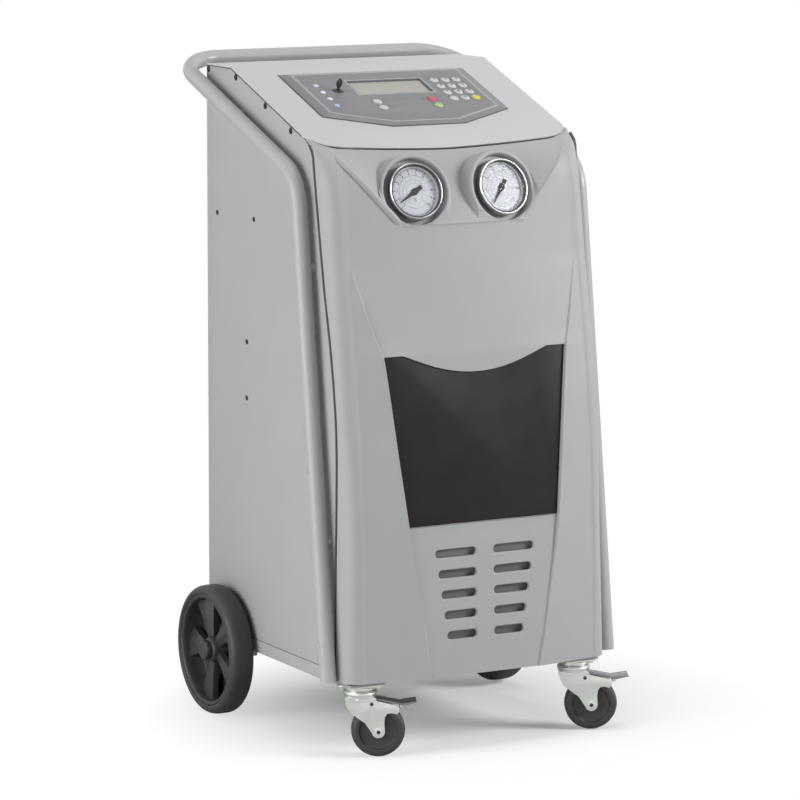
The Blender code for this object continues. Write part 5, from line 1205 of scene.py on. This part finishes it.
def make_rear_wheel(side, label):
    place = Matrix.Translation((side * WHEEL_FACE_X, AXLE_Y, WHEEL_R)) @ Matrix.Rotation(side * math.pi / 2,
                                                                                         4, "Y")
    body = f"rear_wheel_{label}"
    tyre = turned([(0.1080, -0.0020), (0.1092, 0.0000), (0.1120, 0.0008), (0.1158, 0.0003),
                   (0.1190, -0.0014),
                   (0.1216, -0.0042), (0.1236, -0.0080), (0.1246, -0.0125), (0.1250, -0.0170),
                   (0.1250, -0.0330),
                   (0.1243, -0.0380), (0.1220, -0.0428), (0.1188, -0.0460), (0.1150, -0.0478),
                   (0.1080, -0.0478)], 128)
    nib = turned([(0.0, 0.0014), (0.0022, 0.0011), (0.0034, 0.0003), (0.0036, -0.0010), (0.0, -0.0010)], 24)
    nib.data.transform(Matrix.Rotation(math.radians(-4 if side < 0 else 40), 4, "Z")
                       @ Matrix.Translation((0, WHEEL_R - 0.0008, -0.0140)) @ Matrix.Rotation(-math.pi / 2,
                                                                                              4, "X"))
    hand_in(settle(joined(tyre, nib), place), f"{label}_solid_tyre", rubber, "tyre_rubber", body,
            f"rear_tyre_{label}",
            sharp=50)
    wheel = turned([(0.0, 0.0032), (0.0060, 0.0033), (0.0130, 0.0042), (0.0158, 0.0044), (0.0178, 0.0036),
                    (0.0188, 0.0018), (0.0190, -0.0020), (0.0190, -0.0085), (0.0212, -0.0092),
                    (0.0230, -0.0110),
                    (0.0240, -0.0140), (0.0275, -0.0400), (0.0310, -0.0425), (0.0940, -0.0425),
                    (0.0962, -0.0400),
                    (0.0985, -0.0200), (0.0994, -0.0085), (0.1002, -0.0042), (0.1016, -0.0020),
                    (0.1038, -0.0011),
                    (0.1062, -0.0012), (0.1078, -0.0026), (0.1078, -0.0465), (0.0100, -0.0465),
                    (0.0090, -0.0450),
                    (0.0090, -0.0050), (0.0, -0.0050)], 128)
    spokes = []
    for i in range(5):
        spoke = slab([(0.0215, -0.0095), (0.0420, -0.0130), (0.0700, -0.0205), (0.0980, -0.0320),
                      (0.0980, 0.0320),
                      (0.0700, 0.0205), (0.0420, 0.0130), (0.0215, 0.0095)], -0.0330, -0.0195)
        shape_on(spoke)
        bpy.ops.mesh.bisect(plane_co=(0, 0, 0), plane_no=(0, 1, 0))
        pick(spoke, lambda v: abs(v.co.y) < 0.0001 and v.co.z > -0.0300, "VERT")
        bpy.ops.transform.translate(value=(0, 0, 0.0035))
        shape_off()
        soften(spoke, 0.0012, 3, 12)
        spoke.data.transform(Matrix.Rotation(math.radians(90 + 72 * i), 4, "Z")
                             @ Matrix.Rotation(math.radians(8), 4, "X"))
        spokes.append(spoke)
    hand_in(settle(joined(wheel, *spokes), place), f"{label}_spoked_wheel", black, "wheel_plastic", body,
            f"rear_wheel_{label}", sharp=40)


# Casters

CASTER_X = HALF_WIDTH - 0.0462
CASTER_Y = -0.283
CASTER_TRAIL = 0.033
CASTER_TURN = math.radians(-27)
CHEEK_OUT = 0.0213


def make_caster(side, label):
    place = Matrix.Translation((side * CASTER_X, CASTER_Y, 0)) @ Matrix.Rotation(CASTER_TURN, 4, "Z")
    lying = Matrix.Rotation(math.pi / 2, 4, "X")
    fork = soften(copy_of(f"caster_fork_{label}"), 0.0006, 2, 35)
    ring = turned([(0.0262, 0.1250), (0.0295, 0.1248), (0.0312, 0.1236), (0.0318, 0.1214), (0.0312, 0.1186),
                   (0.0298, 0.1168), (0.0262, 0.1166)], 64)
    swage = turned([(0.0120, 0.1136), (0.0200, 0.1134), (0.0226, 0.1120), (0.0232, 0.1098), (0.0220, 0.1094),
                    (0.0120, 0.1120)], 48)
    hand_in(joined(fork, settle(ring, place), settle(swage, place)), f"{label}_caster_fork", zinc, "zinc",
            f"caster_{label}", f"caster_fork_{label}")
    plate = soften(copy_of(f"caster_plate_{label}"), 0.0005, 2, 35)
    cup = turned([(0.0200, 0.1336), (0.0268, 0.1334), (0.0286, 0.1322), (0.0292, 0.1300), (0.0284, 0.1274),
                  (0.0264, 0.1264), (0.0200, 0.1262)], 64)
    parts = [plate, settle(cup, place)]
    for x in (-0.025, 0.025):
        for y in (-0.021, 0.023):
            nut = turned([(0.0, 0.1288), (0.0050, 0.1288), (0.0058, 0.1292), (0.0058, 0.1333),
                          (0.0, 0.1333)], 6)
            parts.append(settle(nut, Matrix.Translation((side * CASTER_X + x, CASTER_Y + y, 0))))
    hand_in(joined(*parts), f"{label}_caster_plate", zinc, "zinc", "cabinet", f"caster_plate_{label}")
    for hand in (-1, 1):
        face = Matrix.Translation((0, hand * CHEEK_OUT, 0)) @ Matrix.Rotation(-hand * math.pi / 2, 4, "X")
        rivet = turned([(0.0, 0.0022), (0.0016, 0.0021), (0.0030, 0.0014), (0.0036, 0.0), (0.0, 0.0)], 24)
        rivet.data.transform(Matrix.Translation((0.0205, 0, 0.1020)) @ face)
        bolt = turned([(0.0, 0.0052), (0.0030, 0.0052), (0.0036, 0.0047), (0.0036, 0.0040), (0.0, 0.0040)],
                      24)
        bolt.data.transform(Matrix.Translation((CASTER_TRAIL, 0, 0.050)) @ face)
        hand_in(settle(joined(rivet, bolt), place), f"{label}_caster_rivets_{'a' if hand < 0 else 'b'}",
                dark_steel,
                "zinc", f"caster_{label}")

    half = [(0.0046, 0.0176), (0.0108, 0.0176), (0.0124, 0.0168), (0.0134, 0.0148), (0.0152, 0.0126),
            (0.0315, 0.0116), (0.0338, 0.0126), (0.0350, 0.0148), (0.0360, 0.0164), (0.0384, 0.0171),
            (0.0436, 0.0166), (0.0468, 0.0147), (0.0489, 0.0112), (0.0500, 0.0060)]
    wheel = turned(half + [(r, -z) for r, z in reversed(half)], 96)
    spin = Matrix.Translation((CASTER_TRAIL, 0, 0.050)) @ lying
    hand_in(settle(wheel, place @ spin), f"{label}_caster_roller", rubber, "caster_rubber",
            f"caster_{label}_wheel",
            f"caster_wheel_{label}", sharp=40)
    pedal = soften(copy_of(f"brake_pedal_{label}"), 0.0006, 2, 35)
    ribs = []
    for y in (-0.010, 0.010):
        rib = brick((0.034, y - 0.0011, 0.1075), (0.078, y + 0.0011, 0.1110))
        rib.data.transform(Matrix.Translation((0, 0, 0.0)) @ Matrix.Translation((0.03, 0, 0.1095))
                           @ Matrix.Rotation(math.radians(10.5), 4,
                                             "Y") @ Matrix.Translation((-0.03, 0, -0.1095)))
        ribs.append(settle(soften(rib, 0.0008), place))
    hand_in(joined(pedal, *ribs), f"{label}_caster_pedal", pedal_steel, "pedal_steel",
            f"caster_{label}_pedal",
            f"brake_pedal_{label}")
    foot = turned([(0.0, 0.0125), (0.0030, 0.0125), (0.0040, 0.0112), (0.0040, -0.0112), (0.0030, -0.0125),
                   (0.0, -0.0125)], 24)
    hand_in(settle(foot, place @ Matrix.Translation((0.0760, 0, 0.0962)) @ lying),
            f"{label}_caster_brake_roller",
            zinc, "zinc", f"caster_{label}_pedal")


# Rear fittings

def make_rear_fittings():
    for node, name, finish, slot in (("mains_inlet", "mains_socket", black, "black_plastic"),
                                     ("hose_ports", "hose_couplings", steel, "port_steel"),
                                     ("rear_axle", "rear_axle_bar", steel, "axle_steel")):
        hand_in(soften(copy_of(node), 0.0004, 2, 30), name, finish, slot, "cabinet", node)
    hand_in(soften(copy_of("power_switch"), 0.0004, 2, 30), "power_rocker", switch_red, "switch_red",
            "power_switch",
            "power_switch")
    for x, finish, label in ((-0.045, blue, "low"), (0.045, switch_red, "high")):
        out = Matrix.Translation((x, REAR_Y, 0.86)) @ Matrix.Rotation(-math.pi / 2, 4, "X")
        collar = turned([(0.0120, 0.0088), (0.0172, 0.0088), (0.0180, 0.0096), (0.0180, 0.0112),
                         (0.0172, 0.0120),
                         (0.0120, 0.0120)], 48)
        hand_in(settle(collar, out), f"{label}_side_coupling_ring", finish, "port_steel", "cabinet")


make_front_cover()
make_slot_backing()
make_label()
for side, name in ((-1, "left_gauge_collar"), (1, "right_gauge_collar")):
    make_collar(side, name)
for side, name, wide, proud in ((-1, "left_facet_bead", 0.0062, 0.0052),
                                (1, "right_facet_bead", 0.0026, 0.0010)):
    foot, head = FACET_FOOT_X + 0.004, FACET_FOOT_X + FACET_SIDE_RUN * (1.106 - FACET_FOOT_Z)
    make_bead(name, (side * foot, FACET_FOOT_Z + 0.0045), (side * head, 1.106), wide, proud)
make_lid()
make_sheet_metal()
make_gauge(-1, "low", list(range(-1, 11)))
make_gauge(1, "high", list(range(0, 40, 5)))
make_console()
make_keys()
make_handle()
make_screws()
for side, label in ((-1, "left"), (1, "right")):
    make_rear_wheel(side, label)
    make_caster(side, label)
make_rear_fittings()


# Stage: floor, light and camera

def set_stage():
    bpy.ops.mesh.primitive_plane_add(size=1, location=(0, 0, 0))
    floor = bpy.context.object
    floor.name = "floor"
    floor.scale = (160, 160, 1)
    bpy.ops.object.transform_apply(scale=True)
    material = bpy.data.materials.new("pale_studio_floor")
    material.use_nodes = True
    tree = material.node_tree
    shader = tree.nodes["Principled BSDF"]
    shader.inputs["Base Color"].default_value = linear("ebebeb")
    shader.inputs["Roughness"].default_value = 0.7
    shader.inputs["Specular IOR Level"].default_value = 0.1
    path = add(material, "ShaderNodeLightPath", {})
    bright = add(material, "ShaderNodeBsdfDiffuse", {"Color": (1, 1, 1, 1)})
    glow = add(material, "ShaderNodeEmission", {"Color": (1, 1, 1, 1), "Strength": 2.5})
    far = add(material, "ShaderNodeEmission", {"Color": (1, 1, 1, 1), "Strength": 1.0})
    lit = add(material, "ShaderNodeMixShader", {"Fac": 0.055}, [(1, bright, "BSDF"), (2, glow, "Emission")])
    place = add(material, "ShaderNodeTexCoord", {})
    middle = add(material, "ShaderNodeVectorMath", {"operation": "SUBTRACT"}, [(0, place, "Object")])
    middle.inputs[1].default_value = (0.12, -0.05, 0)
    reach = add(material, "ShaderNodeVectorMath", {"operation": "LENGTH"}, [(0, middle, "Vector")])
    edge = add(material, "ShaderNodeMapRange",
               {"From Min": 0.20, "From Max": 0.62, "To Min": 0.0, "To Max": 1.0},
               [("Value", reach, "Value")])
    spread = add(material, "ShaderNodeMixShader", {},
                 [(0, edge, "Result"), (1, lit, "Shader"), (2, far, "Emission")])
    seen = add(material, "ShaderNodeMixShader", {}, [(0, path, "Is Camera Ray"), (1, shader, "BSDF"),
                                                     (2, spread, "Shader")])
    tree.links.new(seen.outputs["Shader"], tree.nodes["Material Output"].inputs["Surface"])
    floor.data.materials.append(material)

    world = bpy.data.worlds.new("studio")
    bpy.context.scene.world = world
    world.use_nodes = True
    sky = world.node_tree.nodes["Background"]
    sky.inputs["Color"].default_value = (1, 1, 1, 1)
    sky.inputs["Strength"].default_value = 0.05
    path = add(world, "ShaderNodeLightPath", {})
    mirrored = add(world, "ShaderNodeMath", {"operation": "MAXIMUM"},
                   [(0, path, "Is Glossy Ray"), (1, path, "Is Transmission Ray")])
    either = add(world, "ShaderNodeMath", {"operation": "MAXIMUM"},
                 [(0, path, "Is Camera Ray"), (1, mirrored, "Value")])
    white = add(world, "ShaderNodeBackground", {"Color": (1, 1, 1, 1), "Strength": 1.0})
    shown = add(world, "ShaderNodeMixShader", {}, [(0, either, "Value"), (1, sky, "Background"),
                                                   (2, white, "Background")])
    world.node_tree.links.new(shown.outputs["Shader"],
                              world.node_tree.nodes["World Output"].inputs["Surface"])

    for name, place, aim, size, power in (
            ("left_light", (-4.2, -0.5, 1.2), (0, 0, 0.6), 3.4, 140),
            ("left_front_light", (-3.4, -3.0, 2.4), (0, 0, 0.6), 2.0, 8),
            ("right_front_light", (3.2, -2.6, 2.4), (0, 0, 0.8), 1.6, 146),
            ("top_light", (0.0, -0.4, 4.2), (0, 0, 0.8), 2.0, 42)):
        lamp = bpy.data.lights.new(name, "AREA")
        lamp.shape = "DISK"
        lamp.size = size
        lamp.energy = power
        holder = bpy.data.objects.new(name, lamp)
        bpy.context.scene.collection.objects.link(holder)
        holder.location = place
        holder.rotation_euler = (Vector(aim) - Vector(place)).to_track_quat("-Z", "Y").to_euler()

    lens = bpy.data.cameras.new("camera")
    lens.lens = 184.22
    lens.sensor_width = 36
    lens.clip_end = 300
    camera = bpy.data.objects.new("camera", lens)
    bpy.context.scene.collection.objects.link(camera)
    camera.matrix_world = (Matrix.Translation((-3.7463, -6.7858, 1.8266)) @ Matrix.Rotation(-0.5054, 4, "Z")
                           @ Matrix.Rotation(math.pi / 2 - 0.1556, 4, "X") @ Matrix.Rotation(0.0024, 4, "Z"))
    bpy.context.scene.camera = camera
    bpy.context.scene.view_settings.view_transform = "Standard"


set_stage()
